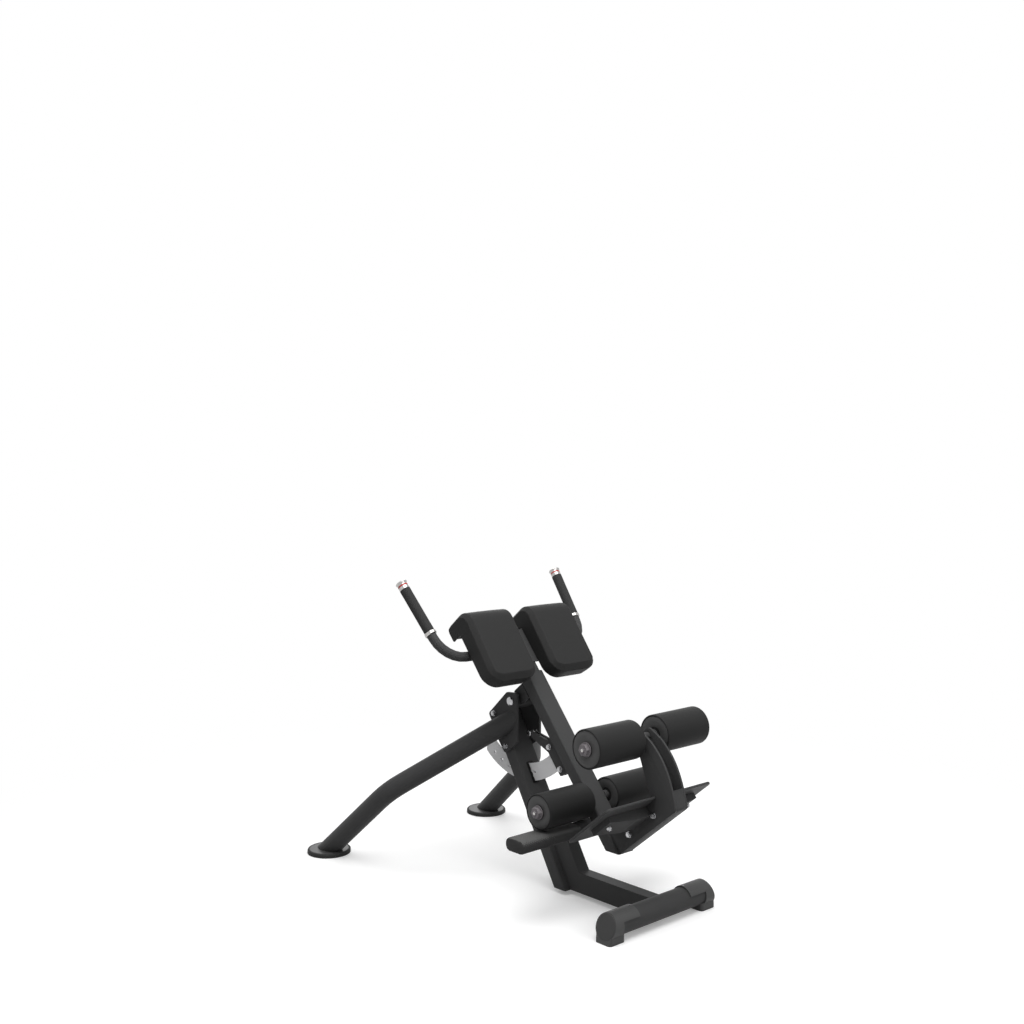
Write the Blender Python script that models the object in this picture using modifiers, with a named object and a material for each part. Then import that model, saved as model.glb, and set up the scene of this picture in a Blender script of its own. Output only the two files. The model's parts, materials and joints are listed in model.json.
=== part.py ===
"""Hyperextension bench: a tilting beam with hip pads, ankle rollers and a foot plate on a floor frame.

The floor frame stands still. The beam tilts on a pivot at the head of the upright and is locked by a pin
in a sector plate. The pad carriage slides along the beam. Metres, +Z up, +X towards the front foot.
"""
import math

import bmesh
import bpy
from mathutils import Matrix, Vector

# Fits
SEAT = 0.0003
RUNNING = 0.0005
SIDE_PLAY = 0.0008
TUBE_WALL = 0.003
BOLT_RADIUS = 0.005
BOLT_HEAD_RADIUS = 0.0092
BOLT_HEAD_HEIGHT = 0.0065
WASHER_RADIUS = 0.0105
WASHER_THICKNESS = 0.0018

# Pivot, and the slopes of the beam and the upright
PIVOT_X = -0.0011
PIVOT_Z = 0.6378
BEAM_SLOPE = math.radians(50.8)
POST_SLOPE = math.radians(59.2)
PIVOT_SHAFT_RADIUS = 0.010
PIVOT_DOME_RADIUS = 0.0165
PIVOT_DOME_HEIGHT = 0.009

# Upright
POST_WIDTH = 0.100
POST_DEPTH = 0.050
POST_CORNER = 0.006
POST_SET_BACK = 0.0841
POST_HEAD = -0.012
FRAME_UNDERSIDE = 0.0145

# Base beam and the strut that runs up the front of the upright
BASE_WIDTH = 0.050
BASE_HEIGHT = 0.072
STRUT_DEPTH = 0.074
STRUT_TOP = 0.245

# Front foot
CROSS_X = 0.6496
CROSS_RADIUS = 0.038
CROSS_HEIGHT = 0.051
FRONT_HALF_WIDTH = 0.2575
CAP_FACE_TOP = 0.227
CAP_WALL = 0.0042
CAP_END_WALL = 0.004
CAP_RING_INNER = 0.200
CAP_TONGUE_INNER = 0.124
CAP_TONGUE_LIFT = 0.016
CAP_BLOCK_HALF_WIDTH = 0.0335
CAP_BLOCK_CORNER = 0.012
CAP_BLOCK_HEIGHT = 0.026
CAP_BLOCK_INNER = 0.1855

# Cheek plates
CHEEK_THICKNESS = 0.010
CHEEK_BOLT_DEPTH = 0.0204
CHEEK_BOLT_STATIONS = (0.003, 0.1314)

# Rear legs
LEG_RADIUS = 0.037
LEG_FOOT = (-0.6824, 0.402, 0.0)
LEG_BEND = (-0.3374, 0.358, 0.2955)
LEG_HEAD = (-0.0234, 0.0603, 0.555)
LEG_BEND_RADIUS = 0.22
FOOT_DISC_PLACE = (-0.6694, 0.398)
FOOT_DISC_RADIUS = 0.0825
FOOT_DISC_HEIGHT = 0.0155
FOOT_RIM_WIDTH = 0.007
FOOT_TOP_PLATE = 0.005

# Main beam, in the beam's own directions: along it, and out of its front
BEAM_WIDTH = 0.075
BEAM_DEPTH = 0.050
BEAM_CORNER = 0.006
BEAM_FRONT = 0.1217
BEAM_HEAD = -0.045
BEAM_FOOT_HEIGHT = 0.1995
BEAM_FOOT_PLATE = 0.004

# Pivot sleeve and its gussets
SLEEVE_RADIUS = 0.0275
SLEEVE_BORE = 0.0165
GUSSET_OUTER = 0.0372
GUSSET_THICKNESS = 0.006
GUSSET_HEAD = -0.029
GUSSET_TOE = 0.030

# Sector plate and its lock
SECTOR_INNER = 0.2305
SECTOR_OUTER = 0.293
SECTOR_THICKNESS = 0.008
SECTOR_TAIL = math.radians(-82.2)
SECTOR_HOLE_CIRCLE = 0.264
SECTOR_HOLE_RADIUS = 0.0065
SECTOR_REST_HOLE = math.radians(-34.1)
SECTOR_PITCH = math.radians(9.8)
SECTOR_HOLES_ABOVE_REST = 1
SECTOR_HOLES_BELOW_REST = 4
SLOT_CLEARANCE = 0.003
BEZEL_WIDTH = 0.028
BEZEL_OPENING_WIDTH = 0.013
BEZEL_RIM = 0.0035
BEZEL_THICKNESS = 0.0025
LOCK_PIN_RADIUS = 0.0055
LOCK_TRAVEL = 0.012
LOCK_HOUSING_RADIUS = 0.0125
LOCK_HOUSING_LENGTH = 0.026
KNOB_RADIUS = 0.0165
KNOB_LENGTH = 0.028
KNOB_NECK = 0.0075

# Bracket that carries the sector plate, with the arm of the stop bumper
BRACKET_PLATE = 0.008
BRACKET_HEAD = 0.1866
BRACKET_TOE = 0.3300
BRACKET_DEPTH = 0.061
BRACKET_BASE = 0.0057
BRACKET_BOLT_DEPTH = 0.044
BRACKET_BOLT_STATIONS = (0.2106, 0.2996)
STOP_ARM_TIP = (0.1221, -0.0303)
STOP_ARM_HALF_DEPTH = 0.0085
BUMPER_RADIUS = 0.0105

# Foot bracket at the foot of the beam
ARM_WIDTH = 0.060
ARM_WALL = 0.008
ARM_REACH = 0.309
ARM_LIP = 0.005
ARM_WEB = 0.006
ARM_UNDERSIDE = 0.6636
ARM_BOLTS = ((0.6306, 0.0800), (0.6306, 0.2160))

# Foot plate
PLATE_TOP = 0.5836
PLATE_THICKNESS = 0.008
PLATE_HALF_WIDTH = 0.255
PLATE_INNER = 0.033
PLATE_OUTER = 0.260
PLATE_CORNER = 0.020
PLATE_SLOT = 0.2325
CHANNEL_INNER = 0.112
CHANNEL_OUTER = 0.205
CHANNEL_WALL = 0.003
CHANNEL_END = 0.210
CHANNEL_END_DEPTH = 0.019
CHANNEL_ROOT_DEPTH = 0.034
CHANNEL_KNEE = 0.070
PLATE_BOLT = (0.170, 0.190)

# Foot peg
PEG_RADIUS = 0.019
PEG_STATION = 0.5216
PEG_HALF_LENGTH = 0.3677
PEG_SLEEVE_LENGTH = 0.260
PEG_SLEEVE_WIDTH = 0.088
PEG_SLEEVE_DEPTH = 0.045
PEG_SLEEVE_CORNER = 0.020
PEG_SLEEVE_END = 0.005
PEG_COLLAR_ROOT = 0.028
PEG_COLLAR_TIP = 0.0215
PEG_COLLAR_GAP = 0.003

# Ankle rollers
UPPER_AXLE = (0.3986, 0.4315)
LOWER_AXLE = (0.4516, 0.1058)
AXLE_RADIUS = 0.0125
AXLE_SIDES = 18
AXLE_COLLAR_RADIUS = 0.016
UPPER_ROLLER_RADIUS = 0.064
LOWER_ROLLER_RADIUS = 0.060
ROLLER_INNER_END = 0.0551
ROLLER_LENGTH = 0.2101
ROLLER_EDGE = 0.009
ROLLER_HUB_RADIUS = 0.046
ROLLER_HUB_RECESS = 0.0015
NUT_FLANGE_RADIUS = 0.0235
NUT_FLANGE = 0.003
NUT_RADIUS = 0.019
NUT_HEIGHT = 0.012
AXLE_TIP_RADIUS = 0.008
AXLE_TIP = 0.003

# Pad carriage
SLIDE_WIDTH = 0.060
SLIDE_DEPTH = 0.040
SLIDE_WALL = 0.0025
SLIDE_HEAD = -0.238
SLIDE_FOOT = 0.400
SLIDE_LINER_LENGTH = 0.075
SLIDE_LINER_LIP = 0.003
HEIGHT_PIN_STATION = 0.285
HEIGHT_PITCH = 0.030
HEIGHT_HOLES_ABOVE_REST = 1
HEIGHT_HOLES_BELOW_REST = 3
SUPPORT_THICKNESS = 0.0044
SUPPORT_HALF_WIDTH = 0.215
SUPPORT_HEAD = -0.222
SUPPORT_TOE = -0.083
SUPPORT_CORNER = 0.020
BOARD_THICKNESS = 0.012
BOARD_MARGIN = 0.018

# Hip pads
PAD_INNER = 0.038
PAD_OUTER = 0.2535
PAD_THICKNESS = 0.0798
PAD_TOE_FALL = 0.010
PAD_HEAD = -0.292
PAD_TOE = -0.004
PAD_FLAP_REACH = 0.052
PAD_FLAP_DEPTH = 0.042
PAD_FLAP_ROOT = 0.066
PAD_CROWN_RADIUS = 0.052
PAD_BEVEL_WIDTH = 0.0165
PAD_BEVEL_DEPTH = 0.0155
PAD_CORNER = 0.055
PAD_CROWN = 0.004
PAD_DRAW_IN = 0.004

# Handles
HANDLE_RADIUS = 0.0175
HANDLE_WALL = 0.0025
HANDLE_STATION = -0.153
HANDLE_REACH = 0.3393
HANDLE_BEND = 0.100
HANDLE_FLARE = math.radians(6.5)
COLLAR_START = 0.102
COLLAR_LENGTH = 0.013
COLLAR_RADIUS = 0.0218
GRIP_LENGTH = 0.182
GRIP_RADIUS = 0.0195
GRIP_CAP_RADIUS = 0.0218
GRIP_CAP_LENGTH = 0.032
GRIP_CAP_SOCKET = 0.0074

SIDES = (("left", -1), ("right", 1))
ALONG_Y = (-math.pi / 2, 0, 0)
PROFILE_IN_XZ = (math.pi / 2, 0, 0)
SECTION_ALONG_X = (math.pi / 2, 0, math.pi / 2)

# The scene is emptied, and the parts and their cutters get a collection each.
for old in list(bpy.data.objects):
    bpy.data.objects.remove(old, do_unlink=True)
PARTS = bpy.data.collections.new("hyperextension_bench")
CUTTERS = bpy.data.collections.new("cutters")
bpy.context.scene.collection.children.link(PARTS)
bpy.context.scene.collection.children.link(CUTTERS)

# Finishes: colour, metallic value, roughness
FINISHES = {
    "frame_paint": ((0.032, 0.033, 0.034), 0.0, 0.45),
    "sector_silver": ((0.35, 0.35, 0.36), 0.6, 0.40),
    "zinc_bolt": ((0.62, 0.62, 0.62), 1.0, 0.30),
    "chrome_trim": ((0.75, 0.75, 0.76), 1.0, 0.18),
    "black_plastic": ((0.020, 0.020, 0.021), 0.0, 0.50),
    "black_rubber": ((0.026, 0.026, 0.027), 0.0, 0.80),
    "foam_skin": ((0.034, 0.034, 0.035), 0.0, 0.42),
    "pad_vinyl": ((0.036, 0.036, 0.037), 0.0, 0.60),
    "birch_ply": ((0.42, 0.30, 0.18), 0.0, 0.70),
    "liner_plastic": ((0.030, 0.030, 0.031), 0.0, 0.45),
}


def finish(name, kind):
    """A sub-part's own Principled material, in one of the finishes."""
    colour, metallic, roughness = FINISHES[kind]
    material = bpy.data.materials.new(name + "_" + kind)
    material.use_nodes = True
    shader = material.node_tree.nodes["Principled BSDF"]
    shader.inputs["Base Color"].default_value = (*colour, 1.0)
    shader.inputs["Metallic"].default_value = metallic
    shader.inputs["Roughness"].default_value = roughness
    return material


def frame(name, location, slope=0.0):
    """An empty whose local X runs down a slope in the XZ plane, and local Z out of its front."""
    empty = bpy.data.objects.new(name, None)
    empty.location = location
    empty.rotation_euler = (0, slope, 0)
    PARTS.objects.link(empty)
    return empty


FLOOR_FRAME = frame("floor_frame", (0, 0, 0))
BEAM_FRAME = frame("beam_pivot", (PIVOT_X, 0, PIVOT_Z), BEAM_SLOPE)
POST_FRAME = frame("post_head", (PIVOT_X, 0, PIVOT_Z), POST_SLOPE)


def post_x(height, offset):
    """World X at a height on a plane parallel to the upright's front, offset from the pivot."""
    return PIVOT_X + (offset - math.cos(POST_SLOPE) * (height - PIVOT_Z)) / math.sin(POST_SLOPE)


def rounded(corners, steps=4):
    """Outline points from corners given as (x, y) or (x, y, fillet radius)."""
    points = []
    count = len(corners)
    for index, corner in enumerate(corners):
        here = Vector(corner[:2])
        radius = corner[2] if len(corner) > 2 else 0.0
        if radius <= 0:
            points.append(tuple(here))
            continue
        before = Vector(corners[index - 1][:2]) - here
        after = Vector(corners[(index + 1) % count][:2]) - here
        half = before.angle(after) / 2
        reach = min(radius / math.tan(half), 0.49 * before.length, 0.49 * after.length)
        radius = reach * math.tan(half)
        centre = here + (before.normalized() + after.normalized()).normalized() * radius / math.sin(half)
        start = here + before.normalized() * reach - centre
        sweep = start.angle_signed(here + after.normalized() * reach - centre)
        for step in range(steps + 1):
            turned = Matrix.Rotation(-sweep * step / steps, 2) @ start
            points.append(tuple(centre + turned))
    return points


def rectangle(width, height, radius=0.0, centre=(0.0, 0.0), steps=4):
    """A rectangle's outline, with rounded corners."""
    x, y = width / 2, height / 2
    ways = ((-1, -1), (1, -1), (1, 1), (-1, 1))
    corners = [(centre[0] + a * x, centre[1] + b * y, radius) for a, b in ways]
    return rounded(corners, steps)


def circle(radius, centre=(0.0, 0.0), steps=32):
    """A circle's outline."""
    angles = [2 * math.pi * step / steps for step in range(steps)]
    return [(centre[0] + radius * math.cos(a), centre[1] + radius * math.sin(a)) for a in angles]


def curve_mesh(name, curve):
    """The closed mesh of a curve, whose loose caps are welded."""
    guide = bpy.data.objects.new(name + "_guide", curve)
    bpy.context.scene.collection.objects.link(guide)
    bpy.context.view_layer.update()
    mesh = bpy.data.meshes.new_from_object(guide.evaluated_get(bpy.context.evaluated_depsgraph_get()))
    bpy.data.objects.remove(guide, do_unlink=True)
    bpy.data.curves.remove(curve)
    work = bmesh.new()
    work.from_mesh(mesh)
    bmesh.ops.remove_doubles(work, verts=work.verts, dist=1e-6)
    bmesh.ops.recalc_face_normals(work, faces=work.faces)
    work.to_mesh(mesh)
    work.free()
    return mesh


def outline_mesh(name, outlines, thickness):
    """A flat outline, with any holes, given half its thickness each way."""
    curve = bpy.data.curves.new(name, "CURVE")
    curve.dimensions = "2D"
    curve.fill_mode = "BOTH"
    curve.extrude = thickness / 2
    for outline in outlines:
        spline = curve.splines.new("POLY")
        spline.points.add(len(outline) - 1)
        for point, (x, y) in zip(spline.points, outline):
            point.co = (x, y, 0, 1)
        spline.use_cyclic_u = True
    return curve_mesh(name, curve)


def tube_mesh(name, path, radius, sides=20):
    """A round bar along a path of points."""
    curve = bpy.data.curves.new(name, "CURVE")
    curve.dimensions = "3D"
    curve.bevel_depth = radius
    curve.bevel_resolution = sides // 2 - 2
    curve.use_fill_caps = True
    spline = curve.splines.new("POLY")
    spline.points.add(len(path) - 1)
    for point, place in zip(spline.points, path):
        point.co = (*place, 1)
    return curve_mesh(name, curve)


def add(name, mesh, kind, parent=FLOOR_FRAME, location=(0, 0, 0), rotation=(0, 0, 0)):
    """A named sub-part in its own finish, placed under a frame."""
    piece = bpy.data.objects.new(name, mesh)
    piece.parent = parent
    piece.location = location
    piece.rotation_euler = rotation
    PARTS.objects.link(piece)
    mesh.materials.clear()
    mesh.materials.append(finish(name, kind))
    return piece


def tool(name, mesh, parent=FLOOR_FRAME, location=(0, 0, 0), rotation=(0, 0, 0)):
    """A hidden body that cuts a sub-part or is joined to it."""
    piece = bpy.data.objects.new(name + "_tool", mesh)
    piece.parent = parent
    piece.location = location
    piece.rotation_euler = rotation
    piece.hide_render = True
    piece.display_type = "WIRE"
    CUTTERS.objects.link(piece)
    return piece


def shape(piece, other, operation="DIFFERENCE"):
    """Cuts another body out of a piece, or joins it on."""
    step = piece.modifiers.new(operation.lower() + "_" + other.name, "BOOLEAN")
    step.object = other
    step.operation = operation
    step.solver = "EXACT"


def soften(piece, width, segments=2, angle=math.radians(35)):
    """Rounds a piece's sharp edges."""
    step = piece.modifiers.new("edges", "BEVEL")
    step.width = width
    step.segments = segments
    step.limit_method = "ANGLE"
    step.angle_limit = angle
    step.use_clamp_overlap = True


def smooth(mesh, angle=math.radians(40)):
    """Smooth shading that keeps real edges sharp."""
    mesh.shade_smooth()
    mesh.set_sharp_from_angle(angle=angle)


def turned(name, profile, kind, steps=24, closed=False, as_tool=False, **place):
    """A body turned about its local Z from a profile that runs down its outer side."""
    mesh = bpy.data.meshes.new(name)
    last = len(profile) - 1
    edges = [(i, i + 1) for i in range(last)]
    if closed:
        edges.append((last, 0))
    mesh.from_pydata([(radius, 0, height) for radius, height in profile], edges, [])
    piece = tool(name, mesh, **place) if as_tool else add(name, mesh, kind, **place)
    step = piece.modifiers.new("turn", "SCREW")
    step.axis = "Z"
    step.steps = steps
    step.render_steps = steps
    step.use_merge_vertices = True
    step.merge_threshold = 0.00001
    step.use_smooth_shade = True
    return piece


def cross_plate(name, corners, width, kind, parent, centre=0.0, holes=(), steps=4):
    """A plate in the XZ plane of a frame, centred at a distance along Y."""
    outlines = [rounded(corners, steps)] + list(holes)
    return add(name, outline_mesh(name, outlines, width), kind, parent, (0, centre, 0), PROFILE_IN_XZ)


def cross_tool(name, corners, width, parent, centre=0.0, steps=4):
    """A cutter or joined body in the XZ plane of a frame."""
    mesh = outline_mesh(name, [rounded(corners, steps)], width)
    return tool(name, mesh, parent, (0, centre, 0), PROFILE_IN_XZ)


def drill(piece, parent, place, radius, start, end, steps=14):
    """Bores a round hole along Y through a piece, at (x, z) of a frame."""
    mesh = outline_mesh(piece.name + "_bore", [circle(radius, (0, 0), steps)], end - start)
    location = (place[0], (start + end) / 2, place[1])
    shape(piece, tool(piece.name + "_bore", mesh, parent, location, PROFILE_IN_XZ))


def stacked(name, rings, kind, sides, **place):
    """A body lofted down its local Z through rings of (radius, height, whether it is a hexagon)."""
    verts = []
    for radius, height, hexagon in rings:
        for step in range(sides):
            angle = 2 * math.pi * step / sides
            reach = radius
            if hexagon:
                reach *= math.cos(math.pi / 6) / math.cos(angle % (math.pi / 3) - math.pi / 6)
            verts.append((reach * math.cos(angle), reach * math.sin(angle), height))
    faces = [tuple(range(sides)), tuple(range(len(verts) - 1, len(verts) - sides - 1, -1))]
    for level in range(len(rings) - 1):
        upper = level * sides
        lower = upper + sides
        for step in range(sides):
            ahead = (step + 1) % sides
            faces.append((lower + step, lower + ahead, upper + ahead, upper + step))
    mesh = bpy.data.meshes.new(name)
    mesh.from_pydata(verts, [], faces)
    smooth(mesh)
    return add(name, mesh, kind, **place)


def through_bolt(name, parent, place, seat, radius=BOLT_RADIUS):
    """A bolt along Y with a washer and a hexagon on each side, seated at plus and minus a distance."""
    washer = seat + SEAT + WASHER_THICKNESS
    head = washer + BOLT_HEAD_HEIGHT
    rings = [(radius, head + 0.002, False), (radius, head, False), (BOLT_HEAD_RADIUS, head, True)]
    rings += [(BOLT_HEAD_RADIUS, washer, True), (WASHER_RADIUS, washer, False)]
    rings += [(WASHER_RADIUS, seat + SEAT, False), (radius, seat + SEAT, False)]
    rings += [(r, -z, hexagon) for r, z, hexagon in reversed(rings)]
    where = (place[0], 0, place[1])
    return stacked(name, rings, "zinc_bolt", 12, parent=parent, location=where, rotation=ALONG_Y)


def square_tube_mesh(name, width, depth, wall, corner, length):
    """A hollow tube of rounded rectangular section, along its local Z."""
    outer = rectangle(width, depth, corner)
    inner = rectangle(width - 2 * wall, depth - 2 * wall, max(corner - wall, 0.0005))
    return outline_mesh(name, [outer, inner], length)


def floor_box(name, low, high):
    """A box-shaped cutter set by its lowest and highest corners in the floor frame."""
    mesh = bpy.data.meshes.new(name)
    work = bmesh.new()
    bmesh.ops.create_cube(work, size=1.0)
    size = [b - a for a, b in zip(low, high)]
    bmesh.ops.scale(work, vec=size, verts=work.verts)
    work.to_mesh(mesh)
    work.free()
    return tool(name, mesh, FLOOR_FRAME, [(a + b) / 2 for a, b in zip(low, high)])


def local_box(name, parent, low, high):
    """The same, in another frame."""
    box = floor_box(name, low, high)
    box.parent = parent
    return box


def base_beam():
    """Floor beam mitred into the strut, one hollow weldment, coped round the front cross tube."""
    bottom = FRAME_UNDERSIDE
    top = bottom + BASE_HEIGHT
    back = -POST_SET_BACK + SEAT
    front = -POST_SET_BACK + STRUT_DEPTH
    corners = [(post_x(bottom, back), bottom), (CROSS_X, bottom), (CROSS_X, top), (post_x(top, front), top)]
    corners += [(post_x(STRUT_TOP, front), STRUT_TOP), (post_x(STRUT_TOP, back), STRUT_TOP)]
    piece = cross_plate("base_beam", corners, BASE_WIDTH, "frame_paint", FLOOR_FRAME)
    soften(piece, 0.0025)
    wall = TUBE_WALL
    past = CROSS_X + CROSS_RADIUS
    inner = [(post_x(bottom + wall, back + wall), bottom + wall), (past, bottom + wall), (past, top - wall)]
    inner += [(post_x(top - wall, front - wall), top - wall)]
    inner += [(post_x(STRUT_TOP - wall, front - wall), STRUT_TOP - wall)]
    inner += [(post_x(STRUT_TOP - wall, back + wall), STRUT_TOP - wall)]
    shape(piece, cross_tool("base_beam_hollow", inner, BASE_WIDTH - 2 * wall, FLOOR_FRAME))
    mesh = outline_mesh("base_beam_cope", [circle(CROSS_RADIUS + SEAT, steps=40)], 2 * BASE_WIDTH)
    shape(piece, tool("base_beam_cope", mesh, FLOOR_FRAME, (CROSS_X, 0, CROSS_HEIGHT), PROFILE_IN_XZ))


def front_foot():
    """Cross tube with a moulded cap on each end."""
    reach = CAP_FACE_TOP - CAP_END_WALL
    length = 2 * (reach - SEAT)
    rings = [circle(CROSS_RADIUS, steps=40), circle(CROSS_RADIUS - TUBE_WALL, steps=40)]
    mesh = outline_mesh("front_cross_tube", rings, length)
    smooth(mesh)
    add("front_cross_tube", mesh, "frame_paint", FLOOR_FRAME, (CROSS_X, 0, CROSS_HEIGHT), PROFILE_IN_XZ)
    bore = CROSS_RADIUS + SEAT
    outer = bore + CAP_WALL
    top = CROSS_HEIGHT + outer
    lean = (FRONT_HALF_WIDTH - CAP_FACE_TOP) / top
    face = [(FRONT_HALF_WIDTH + lean * 0.01, -0.01), (CAP_FACE_TOP - lean * 0.01, top + 0.01)]
    face += [(2 * FRONT_HALF_WIDTH, top + 0.01), (2 * FRONT_HALF_WIDTH, -0.01)]
    for side, sign in SIDES:
        name = "front_cap_" + side
        axis = (CROSS_X, 0, CROSS_HEIGHT)
        profile = [(0, FRONT_HALF_WIDTH), (outer, FRONT_HALF_WIDTH)]
        profile += [(outer, CAP_TONGUE_INNER), (0, CAP_TONGUE_INNER)]
        facing = ALONG_Y if sign > 0 else PROFILE_IN_XZ
        cap = turned(name, profile, "black_plastic", 36, location=axis, rotation=facing)
        low, high = sorted((sign * (CAP_TONGUE_INNER - 0.01), sign * CAP_RING_INNER))
        shape(cap, floor_box(name + "_trim", (0, low, -1), (2, high, CROSS_HEIGHT + CAP_TONGUE_LIFT)))
        centre = sign * (FRONT_HALF_WIDTH + CAP_BLOCK_INNER) / 2
        block = rectangle(2 * CAP_BLOCK_HALF_WIDTH, FRONT_HALF_WIDTH - CAP_BLOCK_INNER, CAP_BLOCK_CORNER,
                          (0, centre), steps=4)
        mesh = outline_mesh(name + "_block", [block], CAP_BLOCK_HEIGHT)
        low = (CROSS_X, 0, CAP_BLOCK_HEIGHT / 2)
        shape(cap, tool(name + "_block", mesh, FLOOR_FRAME, low), "UNION")
        mesh = outline_mesh(name + "_face", [[(sign * y, z) for y, z in face]], 0.2)
        shape(cap, tool(name + "_face", mesh, FLOOR_FRAME, (CROSS_X, 0, 0), SECTION_ALONG_X))
        mesh = outline_mesh(name + "_socket", [circle(bore, steps=36)], reach)
        place = (CROSS_X, sign * reach / 2, CROSS_HEIGHT)
        shape(cap, tool(name + "_socket", mesh, FLOOR_FRAME, place, PROFILE_IN_XZ))


def slot_reach(offset):
    """Where the sector plate's inner and outer edges cross a plane of the upright."""
    return math.sqrt(SECTOR_INNER ** 2 - offset ** 2), math.sqrt(SECTOR_OUTER ** 2 - offset ** 2)


def upright_post():
    """Upright tube, slotted front and rear for the sector plate."""
    low = (FRAME_UNDERSIDE - PIVOT_Z) / -math.sin(POST_SLOPE)
    foot = low + 0.2
    middle = -POST_SET_BACK - POST_DEPTH / 2
    mesh = square_tube_mesh("upright_post", POST_WIDTH, POST_DEPTH, TUBE_WALL, POST_CORNER, foot - POST_HEAD)
    place = ((foot + POST_HEAD) / 2, 0, middle)
    post = add("upright_post", mesh, "frame_paint", POST_FRAME, place, SECTION_ALONG_X)
    shape(post, floor_box("upright_floor_cut", (-1, -1, -1), (1, 1, FRAME_UNDERSIDE)))
    half = BEZEL_OPENING_WIDTH / 2 + 0.0015
    for name, face, depth in (("front", -POST_SET_BACK, 0), ("rear", -POST_SET_BACK - POST_DEPTH, 1)):
        start, end = slot_reach(face)
        inward = -1 if depth == 0 else 1
        edges = sorted((face - inward * 0.004, face + inward * (TUBE_WALL + 0.004)))
        inside = slot_reach(face + inward * TUBE_WALL)
        start = min(start, inside[0]) - SLOT_CLEARANCE
        end = max(end, inside[1]) + SLOT_CLEARANCE
        corners = (start, -half, edges[0]), (end, half, edges[1])
        shape(post, local_box("post_slot_" + name, POST_FRAME, *corners))
    for station in CHEEK_BOLT_STATIONS:
        place = (station, -POST_SET_BACK - CHEEK_BOLT_DEPTH)
        drill(post, POST_FRAME, place, BOLT_RADIUS + SEAT, -POST_WIDTH, POST_WIDTH)
    drill(post, BEAM_FRAME, lock_place(), LOCK_PIN_RADIUS + RUNNING, 0.02, POST_WIDTH)


def slot_bezel():
    """Moulded frame round the front slot."""
    start, end = slot_reach(-POST_SET_BACK + BEZEL_THICKNESS)
    inside = slot_reach(-POST_SET_BACK)
    start = min(start, inside[0]) - SLOT_CLEARANCE
    end = max(end, inside[1]) + SLOT_CLEARANCE
    middle = (start + end) / 2
    opening = rectangle(BEZEL_OPENING_WIDTH, end - start, 0.002, steps=2)
    outer = rectangle(BEZEL_WIDTH, end - start + 2 * BEZEL_RIM, 0.004)
    mesh = outline_mesh("slot_bezel", [outer, opening], BEZEL_THICKNESS)
    lift = -POST_SET_BACK + SEAT + BEZEL_THICKNESS / 2
    add("slot_bezel", mesh, "black_plastic", POST_FRAME, (middle, 0, lift), (0, 0, math.pi / 2))


def cheek_plates():
    """Side plates bolted to the head of the upright: they carry the pivot and the rear legs."""
    rear = -POST_SET_BACK - POST_DEPTH + 0.002
    head, toe = CHEEK_BOLT_STATIONS
    corners = [(-0.0367, -0.0006, 0.010), (-0.0172, 0.0379, 0.006), (-0.0056, 0.0437, 0.008)]
    corners += [(toe + 0.0116, -0.0448, 0.006), (toe + 0.0216, -0.1240, 0.012), (toe - 0.034, rear, 0.010)]
    corners += [(head - 0.0120, rear, 0.010)]
    for side, sign in SIDES:
        centre = sign * (POST_WIDTH / 2 + SEAT + CHEEK_THICKNESS / 2)
        name = "cheek_plate_" + side
        plate = cross_plate(name, corners, CHEEK_THICKNESS, "frame_paint", POST_FRAME, centre)
        soften(plate, 0.0012, 1)
        for station in CHEEK_BOLT_STATIONS:
            place = (station, -POST_SET_BACK - CHEEK_BOLT_DEPTH)
            drill(plate, POST_FRAME, place, BOLT_RADIUS + SEAT, -POST_WIDTH, POST_WIDTH)
        drill(plate, POST_FRAME, (0, 0), PIVOT_SHAFT_RADIUS + SEAT, -POST_WIDTH, POST_WIDTH)
    seat = POST_WIDTH / 2 + SEAT + CHEEK_THICKNESS
    for name, station in zip(("cheek_bolt_upper", "cheek_bolt_lower"), CHEEK_BOLT_STATIONS):
        through_bolt(name, POST_FRAME, (station, -POST_SET_BACK - CHEEK_BOLT_DEPTH), seat)
    dome = seat + SEAT
    profile = [(0, dome + PIVOT_DOME_HEIGHT), (PIVOT_DOME_RADIUS * 0.55, dome + PIVOT_DOME_HEIGHT * 0.88)]
    profile += [(PIVOT_DOME_RADIUS * 0.88, dome + PIVOT_DOME_HEIGHT * 0.5), (PIVOT_DOME_RADIUS, dome + 0.002)]
    profile += [(PIVOT_DOME_RADIUS, dome), (PIVOT_SHAFT_RADIUS, dome)]
    profile += [(r, -z) for r, z in reversed(profile)]
    turned("pivot_shaft", profile, "zinc_bolt", 24, parent=POST_FRAME, rotation=ALONG_Y)


def bent_path(corners, radius, steps=6):
    """A path of straight runs whose corners are rounded."""
    path = [Vector(corners[0])]
    for before, here, after in zip(corners, corners[1:], corners[2:]):
        here = Vector(here)
        back = (Vector(before) - here).normalized()
        ahead = (Vector(after) - here).normalized()
        half = back.angle(ahead) / 2
        centre = here + (back + ahead).normalized() * radius / math.sin(half)
        start = here + back * radius / math.tan(half) - centre
        end = here + ahead * radius / math.tan(half) - centre
        axis = start.cross(end).normalized()
        sweep = start.angle(end)
        for step in range(steps + 1):
            path.append(centre + Matrix.Rotation(sweep * step / steps, 3, axis) @ start)
    path.append(Vector(corners[-1]))
    return path


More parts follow.
